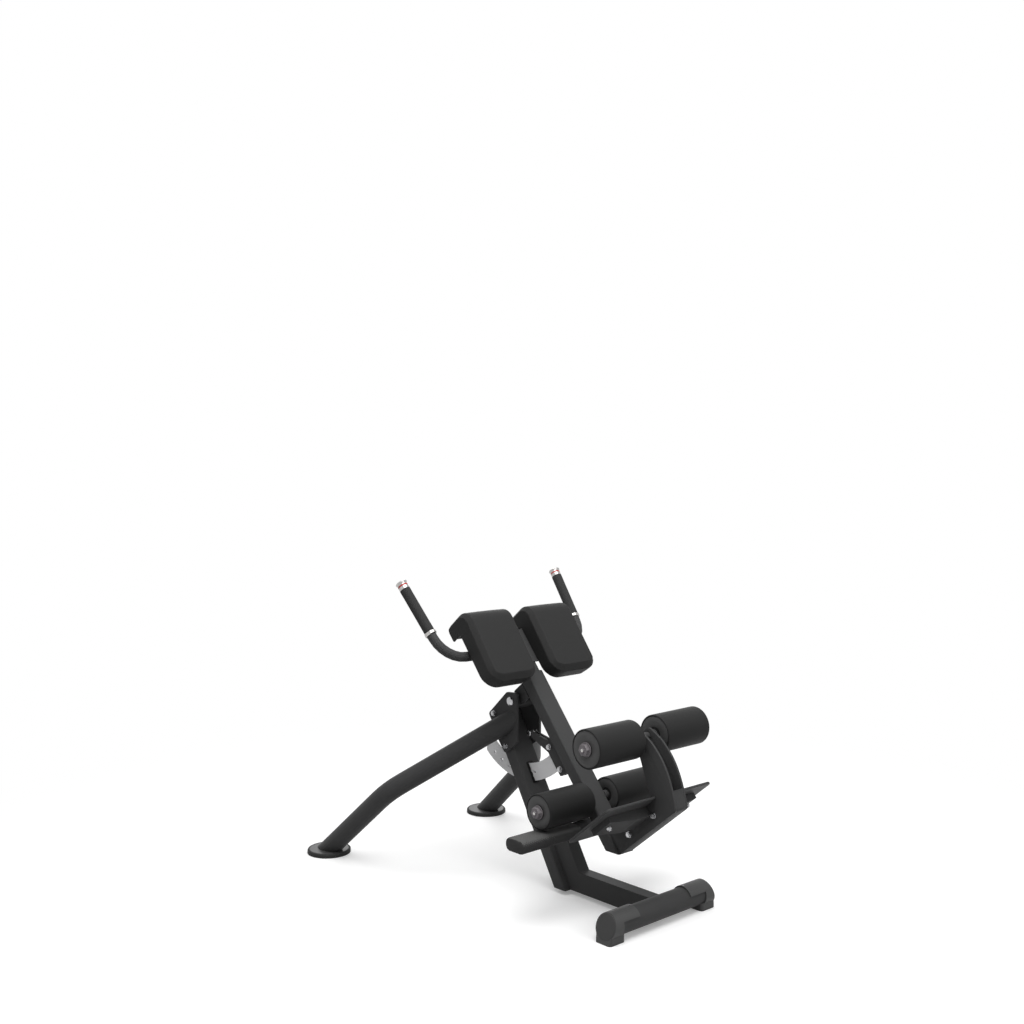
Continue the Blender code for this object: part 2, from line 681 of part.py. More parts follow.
def rear_legs():
    """Bent leg tubes from the cheek plates down to round rubber feet."""
    cheek_face = POST_WIDTH / 2 + SEAT + CHEEK_THICKNESS + SEAT
    plate_top = FOOT_DISC_HEIGHT + SEAT
    for side, sign in SIDES:
        foot, bend, head = [Vector((x, sign * y, z)) for x, y, z in (LEG_FOOT, LEG_BEND, LEG_HEAD)]
        name = "rear_leg_" + side
        path = bent_path((foot + (foot - bend) * 0.2, bend, head + (head - bend) * 0.2), LEG_BEND_RADIUS, 4)
        mesh = tube_mesh(name, path, LEG_RADIUS, 24)
        smooth(mesh)
        leg = add(name, mesh, "frame_paint")
        path = bent_path((foot + (foot - bend) * 0.3, bend, head + (head - bend) * 0.3), LEG_BEND_RADIUS, 4)
        shape(leg, tool(name + "_hollow", tube_mesh(name + "_hollow", path, LEG_RADIUS - TUBE_WALL, 16)))
        shape(leg, floor_box(name + "_floor_cut", (-1, -1, -1), (1, 1, plate_top)))
        shape(leg, floor_box(name + "_cheek_cut", (-1, -cheek_face, -1), (1, cheek_face, 2)))
        centre = (FOOT_DISC_PLACE[0], sign * FOOT_DISC_PLACE[1], 0)
        recess = FOOT_DISC_RADIUS - FOOT_RIM_WIDTH
        floor = FOOT_DISC_HEIGHT - FOOT_TOP_PLATE
        rim = [(recess, FOOT_DISC_HEIGHT), (FOOT_DISC_RADIUS - 0.003, FOOT_DISC_HEIGHT)]
        rim += [(FOOT_DISC_RADIUS, FOOT_DISC_HEIGHT - 0.003), (FOOT_DISC_RADIUS, 0.0), (0, 0.0)]
        profile = [(0, floor - SEAT), (recess, floor - SEAT)] + rim
        turned("foot_disc_" + side, profile, "black_rubber", 36, location=centre)
        reach = recess - SEAT
        plate = [(0, FOOT_DISC_HEIGHT), (reach - 0.001, FOOT_DISC_HEIGHT), (reach, FOOT_DISC_HEIGHT - 0.001)]
        plate += [(reach, floor), (0, floor)]
        turned("leg_base_plate_" + side, plate, "sector_silver", 36, location=centre)


def beam_x(height, offset):
    """Distance down the beam at which a height is reached, on a plane parallel to its front."""
    return (PIVOT_Z - height + math.cos(BEAM_SLOPE) * offset) / math.sin(BEAM_SLOPE)


def main_beam():
    """Tilting beam, closed at the foot, with the boss of the height pin on its right side."""
    rear = BEAM_FRONT - BEAM_DEPTH
    foot = beam_x(BEAM_FOOT_HEIGHT, BEAM_FRONT) + 0.05
    mesh = square_tube_mesh("main_beam", BEAM_WIDTH, BEAM_DEPTH, TUBE_WALL, BEAM_CORNER, foot - BEAM_HEAD)
    place = ((foot + BEAM_HEAD) / 2, 0, BEAM_FRONT - BEAM_DEPTH / 2)
    beam = add("main_beam", mesh, "frame_paint", BEAM_FRAME, place, SECTION_ALONG_X)
    shape(beam, floor_box("beam_foot_cut", (-1, -1, -1), (2, 1, BEAM_FOOT_HEIGHT)))
    inset = TUBE_WALL - 0.0005
    low, high = rear + inset, BEAM_FRONT - inset
    closing = [(beam_x(BEAM_FOOT_HEIGHT, low), low), (beam_x(BEAM_FOOT_HEIGHT, high), high)]
    closing += [(x - BEAM_FOOT_PLATE, z) for x, z in reversed(closing)]
    shape(beam, cross_tool("beam_foot_plate", closing, BEAM_WIDTH - 2 * inset, BEAM_FRAME), "UNION")
    drill(beam, BEAM_FRAME, LOWER_AXLE, AXLE_RADIUS + SEAT, -BEAM_WIDTH, BEAM_WIDTH, AXLE_SIDES)
    slide_middle = BEAM_FRONT - BEAM_DEPTH / 2
    boss = outline_mesh("height_boss", [circle(LOCK_HOUSING_RADIUS, steps=24)], LOCK_HOUSING_LENGTH * 0.7)
    centre = (HEIGHT_PIN_STATION, BEAM_WIDTH / 2 + LOCK_HOUSING_LENGTH * 0.35 - 0.0005, slide_middle)
    shape(beam, tool("height_boss", boss, BEAM_FRAME, centre, PROFILE_IN_XZ), "UNION")
    place = (HEIGHT_PIN_STATION, slide_middle)
    drill(beam, BEAM_FRAME, place, LOCK_PIN_RADIUS + RUNNING, 0.02, 2 * BEAM_WIDTH)


def pivot_sleeve():
    """Bearing tube between the cheek plates with the two gussets that hold the beam."""
    half = POST_WIDTH / 2 + SEAT - SIDE_PLAY
    tube = [(SLEEVE_BORE, half - SEAT), (SLEEVE_RADIUS, half - SEAT)]
    tube += [(r, -z) for r, z in reversed(tube)]
    sleeve = turned("pivot_sleeve", tube, "frame_paint", 32, True, parent=BEAM_FRAME, rotation=ALONG_Y)
    rear = BEAM_FRONT - BEAM_DEPTH - SEAT
    corners = [(GUSSET_HEAD, rear), (GUSSET_HEAD, 0.022), (-0.018, 0)]
    corners += [(0.018, 0), (GUSSET_TOE, 0.028), (GUSSET_TOE, rear)]
    for side, sign in SIDES:
        centre = sign * (GUSSET_OUTER - GUSSET_THICKNESS / 2)
        gusset = cross_tool("gusset_" + side, corners, GUSSET_THICKNESS, BEAM_FRAME, centre)
        drill(gusset, BEAM_FRAME, (0, 0), (SLEEVE_BORE + SLEEVE_RADIUS) / 2, -POST_WIDTH, POST_WIDTH, 32)
        shape(sleeve, gusset, "UNION")
    bore = PIVOT_SHAFT_RADIUS + RUNNING
    bush = [(bore, half), (SLEEVE_BORE - SEAT, half), (SLEEVE_BORE - SEAT, -half), (bore, -half)]
    turned("pivot_bush", bush, "liner_plastic", 24, True, parent=BEAM_FRAME, rotation=ALONG_Y)


def lock_place():
    """Where the lock pin meets the sector plate's rest hole, in the beam's frame."""
    return (SECTOR_HOLE_CIRCLE * math.cos(SECTOR_REST_HOLE), SECTOR_HOLE_CIRCLE * math.sin(SECTOR_REST_HOLE))


def sector_plate():
    """Slotted-through arc with the row of locking holes, and the lug that the bracket holds."""
    lug_top = BEAM_FRONT - BEAM_DEPTH - SEAT - BRACKET_BASE - SEAT
    first, last = BRACKET_BOLT_STATIONS
    margin = 0.0155
    lug_low = BEAM_FRONT - BEAM_DEPTH - BRACKET_BOLT_DEPTH - 0.014
    count = 16
    turn = [(math.cos(SECTOR_TAIL * i / count), math.sin(SECTOR_TAIL * i / count)) for i in range(count + 1)]
    outer = [(SECTOR_OUTER * x, SECTOR_OUTER * z) for x, z in reversed(turn)]
    inner = [(SECTOR_INNER * x, SECTOR_INNER * z) for x, z in turn]
    corners = [(*outer[0], 0.012)] + outer[1:]
    corners += [(last + margin, lug_low, 0.004), (last + margin, lug_top)]
    corners += [(first - margin, lug_top), (first - margin, lug_low, 0.006)]
    corners += inner[:-1] + [(*inner[-1], 0.012)]
    holes = []
    for number in range(-SECTOR_HOLES_ABOVE_REST, SECTOR_HOLES_BELOW_REST + 1):
        angle = SECTOR_REST_HOLE - number * SECTOR_PITCH
        place = (SECTOR_HOLE_CIRCLE * math.cos(angle), SECTOR_HOLE_CIRCLE * math.sin(angle))
        holes.append(circle(SECTOR_HOLE_RADIUS, place, 14))
    depth = BEAM_FRONT - BEAM_DEPTH - BRACKET_BOLT_DEPTH
    for station in BRACKET_BOLT_STATIONS:
        holes.append(circle(BOLT_RADIUS + SEAT, (station, depth), 14))
    cross_plate("sector_plate", corners, SECTOR_THICKNESS, "sector_silver", BEAM_FRAME, holes=holes)


def sector_bracket():
    """Bracket welded to the beam's rear: two plates round the sector's lug, running on into the stop arm."""
    rear = BEAM_FRONT - BEAM_DEPTH - SEAT
    inner = SECTOR_THICKNESS / 2 + SEAT
    width = 2 * (inner + BRACKET_PLATE)
    low = rear - BRACKET_DEPTH
    first, last = BRACKET_BOLT_STATIONS
    bolt_depth = BEAM_FRONT - BEAM_DEPTH - BRACKET_BOLT_DEPTH
    root = Vector((first, bolt_depth))
    tip = Vector(STOP_ARM_TIP)
    along = (tip - root).normalized()
    across = Vector((-along.y, along.x)) * STOP_ARM_HALF_DEPTH
    end = tip + along * STOP_ARM_HALF_DEPTH
    radius = STOP_ARM_HALF_DEPTH * 0.98
    corners = [(BRACKET_HEAD, rear), (BRACKET_TOE, rear), (BRACKET_TOE - 0.010, low + 0.002, 0.006)]
    corners += [(last - 0.018, low, 0.006), (first + 0.012, low, 0.010)]
    corners += [(*(end + across), radius), (*(end - across), radius)]
    corners += [(BRACKET_HEAD, bolt_depth + 0.006, 0.004)]
    bracket = cross_plate("sector_bracket", corners, width, "frame_paint", BEAM_FRAME)
    slot = [(-1, rear - BRACKET_BASE), (1, rear - BRACKET_BASE), (1, -1), (-1, -1)]
    shape(bracket, cross_tool("bracket_slot", slot, 2 * inner, BEAM_FRAME))
    for station in BRACKET_BOLT_STATIONS:
        drill(bracket, BEAM_FRAME, (station, bolt_depth), BOLT_RADIUS + SEAT, -0.1, 0.1)
    drill(bracket, BEAM_FRAME, STOP_ARM_TIP, BOLT_RADIUS + SEAT, -0.1, 0.1)
    for name, station in zip(("sector_bolt_upper", "sector_bolt_lower"), BRACKET_BOLT_STATIONS):
        through_bolt(name, BEAM_FRAME, (station, bolt_depth), width / 2)
    seat = width / 2 + SEAT
    profile = [(0, seat + 0.007), (BOLT_HEAD_RADIUS * 0.8, seat + 0.007), (BOLT_HEAD_RADIUS, seat + 0.005)]
    profile += [(BOLT_HEAD_RADIUS, seat), (BOLT_RADIUS, seat)]
    profile += [(BOLT_RADIUS, inner - SEAT), (BUMPER_RADIUS, inner - SEAT)]
    profile += [(r, -z) for r, z in reversed(profile)]
    where = (STOP_ARM_TIP[0], 0, STOP_ARM_TIP[1])
    turned("stop_bumper", profile, "zinc_bolt", 20, parent=BEAM_FRAME, location=where, rotation=ALONG_Y)


def lock_pin_set():
    """Pull pin of the sector lock, parked in its pulled-out position, in a boss on the upright."""
    place = lock_place()
    face = POST_WIDTH / 2 + SEAT
    end = face + LOCK_HOUSING_LENGTH
    bore = LOCK_PIN_RADIUS + RUNNING
    housing = [(bore, end), (LOCK_HOUSING_RADIUS - 0.001, end), (LOCK_HOUSING_RADIUS, end - 0.001)]
    housing += [(LOCK_HOUSING_RADIUS, face + 0.004), (LOCK_HOUSING_RADIUS + 0.004, face + 0.004)]
    housing += [(LOCK_HOUSING_RADIUS + 0.004, face), (bore, face)]
    where = dict(parent=BEAM_FRAME, location=(place[0], 0, place[1]), rotation=ALONG_Y)
    turned("lock_housing", housing, "zinc_bolt", 18, True, **where)
    pull_pin("lock", SECTOR_THICKNESS / 2 + 0.001, end, where)


def pull_pin(name, tip, boss_end, where):
    """A pin from its tip out through a boss, and its knob, drawn back by the travel."""
    shoulder = boss_end + LOCK_TRAVEL + SEAT
    neck = shoulder + KNOB_NECK
    bar = [(0, neck), (LOCK_PIN_RADIUS, neck), (LOCK_PIN_RADIUS, tip + 0.0015)]
    bar += [(LOCK_PIN_RADIUS - 0.0015, tip), (0, tip)]
    turned(name + "_pin", bar, "zinc_bolt", 14, **where)
    bore = LOCK_PIN_RADIUS + SEAT
    top = shoulder + KNOB_LENGTH
    knob = [(0, top), (KNOB_RADIUS * 0.6, top), (KNOB_RADIUS, top - 0.005), (KNOB_RADIUS, neck)]
    knob += [(KNOB_RADIUS * 0.62, shoulder), (bore, shoulder), (bore, neck + SEAT), (0, neck + SEAT)]
    turned(name + "_knob", knob, "black_plastic", 20, **where)


def arm_bracket():
    """Channel at the foot of the beam: its cheeks hook up to carry the upper axle."""
    root = BEAM_FRONT + SEAT
    bottom = ARM_UNDERSIDE
    shelf = PLATE_TOP + PLATE_THICKNESS + SEAT
    axle = UPPER_AXLE
    corners = [(bottom, root), (bottom, root + ARM_REACH, 0.006), (0.6516, 0.4392, 0.008), (0.5816, 0.4647)]
    corners += [(0.5116, 0.4792), (0.4416, 0.4753)]
    corners += [(axle[0] - 0.022, axle[1] + 0.0225, 0.020), (axle[0] - 0.022, axle[1] - 0.022, 0.016)]
    corners += [(0.4544, 0.4021), (0.5286, 0.3778, 0.02), (PLATE_TOP, 0.3592), (shelf, 0.3560), (shelf, root)]
    bolts = [(station, BEAM_FRONT + depth) for station, depth in ARM_BOLTS]
    holes = [circle(BOLT_RADIUS + SEAT, place, 14) for place in bolts]
    holes.append(circle(AXLE_RADIUS + SEAT, UPPER_AXLE, AXLE_SIDES))
    arm = cross_plate("arm_bracket", corners, ARM_WIDTH, "frame_paint", BEAM_FRAME, holes=holes, steps=5)
    soften(arm, 0.001, 1, math.radians(60))
    web = ARM_WEB
    hollow = [(bottom - web, root - 0.01), (bottom - web, root + ARM_REACH - ARM_LIP)]
    hollow += [(0.6450, 0.4345), (0.6050, 0.4530)]
    hollow += [(0.6050, 0.6), (0.2, 0.6), (0.2, root - 0.01)]
    shape(arm, cross_tool("arm_hollow", hollow, ARM_WIDTH - 2 * ARM_WALL, BEAM_FRAME))
    for name, place in zip(("arm_bolt_inner", "arm_bolt_outer"), bolts):
        through_bolt(name, BEAM_FRAME, place, ARM_WIDTH / 2)


def foot_plate():
    """Flat plate across the beam, stiffened by tapering channels under it."""
    low, high = BEAM_FRONT + PLATE_INNER, BEAM_FRONT + PLATE_OUTER
    top = PLATE_TOP
    under = top + PLATE_THICKNESS
    outline = rectangle(high - low, 2 * PLATE_HALF_WIDTH, PLATE_CORNER, ((low + high) / 2, 0))
    turn = (0, -math.pi / 2, 0)
    mesh = outline_mesh("foot_plate", [outline], PLATE_THICKNESS)
    plate = add("foot_plate", mesh, "frame_paint", BEAM_FRAME, ((top + under) / 2, 0, 0), turn)
    soften(plate, 0.0015, 1)
    slot = ARM_WIDTH / 2 + 2 * SEAT
    corner = (top - 0.01, -slot, BEAM_FRONT + PLATE_SLOT)
    shape(plate, local_box("plate_slot", BEAM_FRAME, corner, (top + 0.05, slot, high + 0.05)))
    wall = CHANNEL_WALL
    root = ARM_WIDTH / 2 + SEAT
    end = CHANNEL_END
    knee = root + CHANNEL_KNEE
    width = CHANNEL_OUTER - CHANNEL_INNER
    middle = (0, 0, BEAM_FRONT + (CHANNEL_OUTER + CHANNEL_INNER) / 2)
    shallow = under + CHANNEL_END_DEPTH
    deep = under + CHANNEL_ROOT_DEPTH
    outside = [(under - 0.001, root), (under - 0.001, end), (shallow, end), (deep, knee), (deep, root)]
    inside = [(under - 0.002, root - 0.05), (under - 0.002, end - wall), (shallow - wall, end - wall)]
    inside += [(deep - wall, knee), (deep - wall, root - 0.05)]
    for side, sign in SIDES:
        name = "plate_channel_" + side
        mesh = outline_mesh(name, [[(x, sign * y) for x, y in outside]], width)
        body = tool(name, mesh, BEAM_FRAME, middle)
        name += "_inside"
        mesh = outline_mesh(name, [[(x, sign * y) for x, y in inside]], width - 2 * wall)
        shape(body, tool(name, mesh, BEAM_FRAME, middle))
        shape(plate, body, "UNION")
    nut = shallow + 0.004
    head = nut + BOLT_HEAD_HEIGHT
    rings = [(BOLT_RADIUS, head + 0.004, False), (BOLT_RADIUS, head, False), (BOLT_HEAD_RADIUS, head, True)]
    rings += [(BOLT_HEAD_RADIUS, nut, True), (BOLT_RADIUS, nut, False), (BOLT_RADIUS, top - SEAT, False)]
    rings += [(BOLT_HEAD_RADIUS, top - SEAT, False), (BOLT_HEAD_RADIUS * 0.8, top - SEAT - 0.0035, False)]
    for side, sign in SIDES:
        name = "plate_bolt_" + side
        place = (0, sign * PLATE_BOLT[1], BEAM_FRONT + PLATE_BOLT[0])
        bore = outline_mesh(name + "_bore", [circle(BOLT_RADIUS + SEAT, steps=14)], 0.2)
        shape(plate, tool(name + "_bore", bore, BEAM_FRAME, (top, *place[1:]), (0, math.pi / 2, 0)))
        stacked(name, rings, "zinc_bolt", 12, parent=BEAM_FRAME, location=place, rotation=(0, math.pi / 2, 0))


def foot_peg():
    """Tube across the back of the beam with a flat rubber sleeve on each end, level at rest."""
    depth = BEAM_FRONT - BEAM_DEPTH - SEAT - PEG_RADIUS
    place = (PEG_STATION, 0, depth)
    rings = [circle(PEG_RADIUS, steps=28), circle(PEG_RADIUS - TUBE_WALL, steps=28)]
    mesh = outline_mesh("foot_peg_tube", rings, 2 * PEG_HALF_LENGTH)
    smooth(mesh)
    tube = add("foot_peg_tube", mesh, "frame_paint", BEAM_FRAME, place, PROFILE_IN_XZ)
    inner = BEAM_WIDTH / 2 + SEAT
    outer = PEG_HALF_LENGTH + SEAT - PEG_SLEEVE_LENGTH - PEG_COLLAR_GAP
    within = PEG_RADIUS - TUBE_WALL / 2
    cone = [(within, outer), (PEG_COLLAR_TIP, outer), (PEG_COLLAR_ROOT, inner), (within, inner)]
    for side, sign in SIDES:
        facing = ALONG_Y if sign > 0 else PROFILE_IN_XZ
        where = dict(parent=BEAM_FRAME, location=place, rotation=facing)
        collar = turned("peg_collar_" + side, cone, "", 28, True, as_tool=True, **where)
        shape(tube, collar, "UNION")
    level = Matrix.Rotation(BEAM_SLOPE, 2)
    section = rectangle(PEG_SLEEVE_WIDTH, PEG_SLEEVE_DEPTH, PEG_SLEEVE_CORNER, steps=5)
    section = [tuple(level @ Vector(point)) for point in section]
    for side, sign in SIDES:
        name = "peg_sleeve_" + side
        length = PEG_SLEEVE_LENGTH + PEG_SLEEVE_END
        mesh = outline_mesh(name, [section], length)
        centre = sign * (PEG_HALF_LENGTH + SEAT + PEG_SLEEVE_END - length / 2)
        sleeve = add(name, mesh, "black_rubber", BEAM_FRAME, (PEG_STATION, centre, depth), PROFILE_IN_XZ)
        soften(sleeve, 0.003, 2)
        reach = PEG_HALF_LENGTH + SEAT
        bore = outline_mesh(name + "_bore", [circle(PEG_RADIUS + SEAT, steps=28)], reach)
        where = (PEG_STATION, sign * reach / 2, depth)
        shape(sleeve, tool(name + "_bore", bore, BEAM_FRAME, where, PROFILE_IN_XZ))


def axle(name, place, collar_from):
    """A roller axle with spacer collars and a flanged nut on each end."""
    inner = ROLLER_INNER_END - RUNNING
    outer = ROLLER_INNER_END + ROLLER_LENGTH + RUNNING
    flange = outer + NUT_FLANGE
    tip = flange + NUT_HEIGHT
    rings = [(AXLE_TIP_RADIUS, tip + AXLE_TIP, False), (AXLE_TIP_RADIUS, tip, False), (NUT_RADIUS, tip, True)]
    rings += [(NUT_RADIUS, flange, True), (NUT_FLANGE_RADIUS, flange, False)]
    rings += [(NUT_FLANGE_RADIUS, outer, False), (AXLE_RADIUS, outer, False)]
    rings += [(AXLE_RADIUS, inner, False), (AXLE_COLLAR_RADIUS, inner, False)]
    rings += [(AXLE_COLLAR_RADIUS, collar_from + SEAT, False), (AXLE_RADIUS, collar_from + SEAT, False)]
    rings += [(r, -z, hexagon) for r, z, hexagon in reversed(rings)]
    where = dict(parent=BEAM_FRAME, location=(place[0], 0, place[1]), rotation=ALONG_Y)
    stacked(name, rings, "zinc_bolt", AXLE_SIDES, **where)


def roller(name, place, sign, radius):
    """A foam roller that turns on its axle, with a hub disc let into each end."""
    half = ROLLER_LENGTH / 2
    bore = AXLE_RADIUS + RUNNING
    quarter = [(math.cos(a), math.sin(a)) for a in (math.pi / 2 * (1 - i / 3) for i in range(4))]
    centre = radius - ROLLER_EDGE
    hub = half - ROLLER_HUB_RECESS
    top = [(bore, hub), (ROLLER_HUB_RADIUS, hub), (ROLLER_HUB_RADIUS, half)]
    top += [(centre + ROLLER_EDGE * c, half - ROLLER_EDGE + ROLLER_EDGE * s) for c, s in quarter]
    profile = top + [(r, -z) for r, z in reversed(top)]
    middle = sign * (ROLLER_INNER_END + half)
    where = dict(parent=BEAM_FRAME, location=(place[0], middle, place[1]), rotation=ALONG_Y)
    turned(name, profile, "foam_skin", 24, True, **where)


def rollers():
    """Two axles with two rollers each."""
    axle("upper_axle", UPPER_AXLE, ARM_WIDTH / 2)
    axle("lower_axle", LOWER_AXLE, BEAM_WIDTH / 2)
    for side, sign in SIDES:
        roller("upper_roller_" + side, UPPER_AXLE, sign, UPPER_ROLLER_RADIUS)
        roller("lower_roller_" + side, LOWER_AXLE, sign, LOWER_ROLLER_RADIUS)


def slide():
    """Inner tube of the pad carriage, the liner that guides it and the plate that carries the pads."""
    middle = BEAM_FRONT - BEAM_DEPTH / 2
    inside_width = BEAM_WIDTH - 2 * TUBE_WALL
    inside_depth = BEAM_DEPTH - 2 * TUBE_WALL
    outer = rectangle(inside_width - 2 * SEAT, inside_depth - 2 * SEAT, BEAM_CORNER - TUBE_WALL)
    inner = rectangle(SLIDE_WIDTH + 2 * RUNNING, SLIDE_DEPTH + 2 * RUNNING, 0.004)
    length = SLIDE_LINER_LENGTH + SLIDE_LINER_LIP
    mesh = outline_mesh("beam_liner", [outer, inner], length)
    place = (BEAM_HEAD - SLIDE_LINER_LIP + length / 2, 0, middle)
    add("beam_liner", mesh, "liner_plastic", BEAM_FRAME, place, SECTION_ALONG_X)
    length = SLIDE_FOOT - SLIDE_HEAD
    tube = square_tube_mesh("slide_tube", SLIDE_WIDTH, SLIDE_DEPTH, SLIDE_WALL, 0.004, length)
    place = ((SLIDE_FOOT + SLIDE_HEAD) / 2, 0, middle)
    piece = add("slide_tube", tube, "frame_paint", BEAM_FRAME, place, SECTION_ALONG_X)
    inset = SLIDE_WALL - 0.0005
    low = (SLIDE_HEAD, -SLIDE_WIDTH / 2 + inset, middle - SLIDE_DEPTH / 2 + inset)
    high = (SLIDE_HEAD + 0.003, SLIDE_WIDTH / 2 - inset, middle + SLIDE_DEPTH / 2 - inset)
    shape(piece, local_box("slide_head_plate", BEAM_FRAME, low, high), "UNION")
    for number in range(-HEIGHT_HOLES_ABOVE_REST, HEIGHT_HOLES_BELOW_REST + 1):
        station = HEIGHT_PIN_STATION + number * HEIGHT_PITCH
        bore = LOCK_PIN_RADIUS + 2 * RUNNING
        drill(piece, BEAM_FRAME, (station, middle), bore, SLIDE_WIDTH / 4, SLIDE_WIDTH)
    boss_end = BEAM_WIDTH / 2 + LOCK_HOUSING_LENGTH * 0.7
    where = dict(parent=BEAM_FRAME, location=(HEIGHT_PIN_STATION, 0, middle), rotation=ALONG_Y)
    pull_pin("height", SLIDE_WIDTH / 2 + 0.001, boss_end, where)
    front = middle + SLIDE_DEPTH / 2 + SEAT
    width = 2 * SUPPORT_HALF_WIDTH
    length = SUPPORT_TOE - SUPPORT_HEAD
    outline = rectangle(length, width, SUPPORT_CORNER, ((SUPPORT_TOE + SUPPORT_HEAD) / 2, 0))
    mesh = outline_mesh("pad_support", [outline], SUPPORT_THICKNESS)
    support = add("pad_support", mesh, "frame_paint", BEAM_FRAME, (0, 0, front + SUPPORT_THICKNESS / 2))
    soften(support, 0.001, 1)


def pad_back():
    """Plane on which the pads lie."""
    return BEAM_FRONT - BEAM_DEPTH / 2 + SLIDE_DEPTH / 2 + SEAT + SUPPORT_THICKNESS + SEAT


def pad_profile(edge):
    """The pad's side outline at a distance from its nearer side edge, as (along, out) points."""
    back = pad_back()
    share = min(edge / PAD_BEVEL_WIDTH, 1.0)
    bevel = PAD_BEVEL_DEPTH * (1 - math.sin(share * math.pi / 2) ** 0.9)
    across = (PAD_OUTER - PAD_INNER) / 2
    crown = PAD_CROWN * (1 - (1 - min(edge / across, 1.0)) ** 2) - PAD_CROWN
    front = back + PAD_THICKNESS - bevel + crown
    gap = max(PAD_CORNER - edge, 0.0)
    corner = PAD_CORNER - math.sqrt(max(PAD_CORNER ** 2 - gap ** 2, 0.0))
    toe = PAD_TOE - corner
    head = PAD_HEAD + corner * 0.45
    radius = PAD_CROWN_RADIUS - bevel * 0.45
    flap = back - PAD_FLAP_REACH + corner * 0.15
    low = front - PAD_TOE_FALL
    points = [(toe, back), (toe + 0.003, back + 0.020), (toe + 0.006, min(back + 0.052, low - 0.002))]
    points += [(toe - 0.0155, low)]
    run = (head + radius) - (toe - 0.0155)
    points += [(toe - 0.0155 + run * t, low + PAD_TOE_FALL * t) for t in (0.25, 0.5, 0.75)]
    for step in range(6):
        angle = math.pi / 2 * step / 5
        points.append((head + radius - radius * math.sin(angle), front - radius + radius * math.cos(angle)))
    top = front - radius
    points += [(head, top + (flap + 0.014 - top) * t) for t in (0.5, 1.0)]
    points += [(head + 0.004, flap + 0.004), (head + 0.014, flap)]
    points += [(head + PAD_FLAP_DEPTH - 0.006, flap + 0.001), (head + PAD_FLAP_DEPTH, flap + 0.008)]
    root = min(head + PAD_FLAP_ROOT, SUPPORT_HEAD - SEAT)
    points += [(root - 0.006, back - 0.006), (root, back)]
    return points


def hip_pad(side, sign):
    """Upholstered pad, lofted across its width, with a board let into its back."""
    width = PAD_OUTER - PAD_INNER
    edges = [0.0, 0.004, 0.010, 0.018, 0.030, 0.045, 0.065, width / 2]
    stations = [(edge, edge) for edge in edges] + [(width - edge, edge) for edge in reversed(edges[:-1])]
    rings = []
    for across, edge in stations:
        rings.append([(along, PAD_INNER + across, out) for along, out in pad_profile(edge)])
    back = pad_back()
    for ring, inward in ((rings[0], 1), (rings[-1], -1)):
        for index, (along, y, out) in enumerate(ring):
            depth = max(out - back, 0.0) / PAD_THICKNESS
            ring[index] = (along, y + inward * PAD_DRAW_IN * (0.3 + depth), out)
    work = bmesh.new()
    verts = [[work.verts.new((x, sign * y, z)) for x, y, z in ring] for ring in rings]
    count = len(rings[0])
    for first, second in zip(verts, verts[1:]):
        for i in range(count):
            j = (i + 1) % count
            work.faces.new((first[i], first[j], second[j], second[i]))
    work.faces.new(verts[0])
    work.faces.new(list(reversed(verts[-1])))
    bmesh.ops.recalc_face_normals(work, faces=work.faces)
    bmesh.ops.triangulate(work, faces=work.faces)
    mesh = bpy.data.meshes.new("hip_pad_" + side)
    work.to_mesh(mesh)
    work.free()
    smooth(mesh)
    pad = add("hip_pad_" + side, mesh, "pad_vinyl", BEAM_FRAME)
    head = PAD_HEAD + PAD_FLAP_ROOT + BOARD_MARGIN
    toe = PAD_TOE - BOARD_MARGIN * 1.4
    inner = PAD_INNER + BOARD_MARGIN
    outer = PAD_OUTER - BOARD_MARGIN
    low, high = sorted((sign * inner, sign * outer))
    lowest = (head - SEAT, low - SEAT, back - 0.02)
    highest = (toe + SEAT, high + SEAT, back + BOARD_THICKNESS + SEAT)
    shape(pad, local_box("pad_pocket_" + side, BEAM_FRAME, lowest, highest))
    outline = rectangle(toe - head, high - low, 0.0, ((head + toe) / 2, (low + high) / 2))
    board = outline_mesh("pad_board_" + side, [outline], BOARD_THICKNESS)
    add("pad_board_" + side, board, "birch_ply", BEAM_FRAME, (0, 0, back + BOARD_THICKNESS / 2))


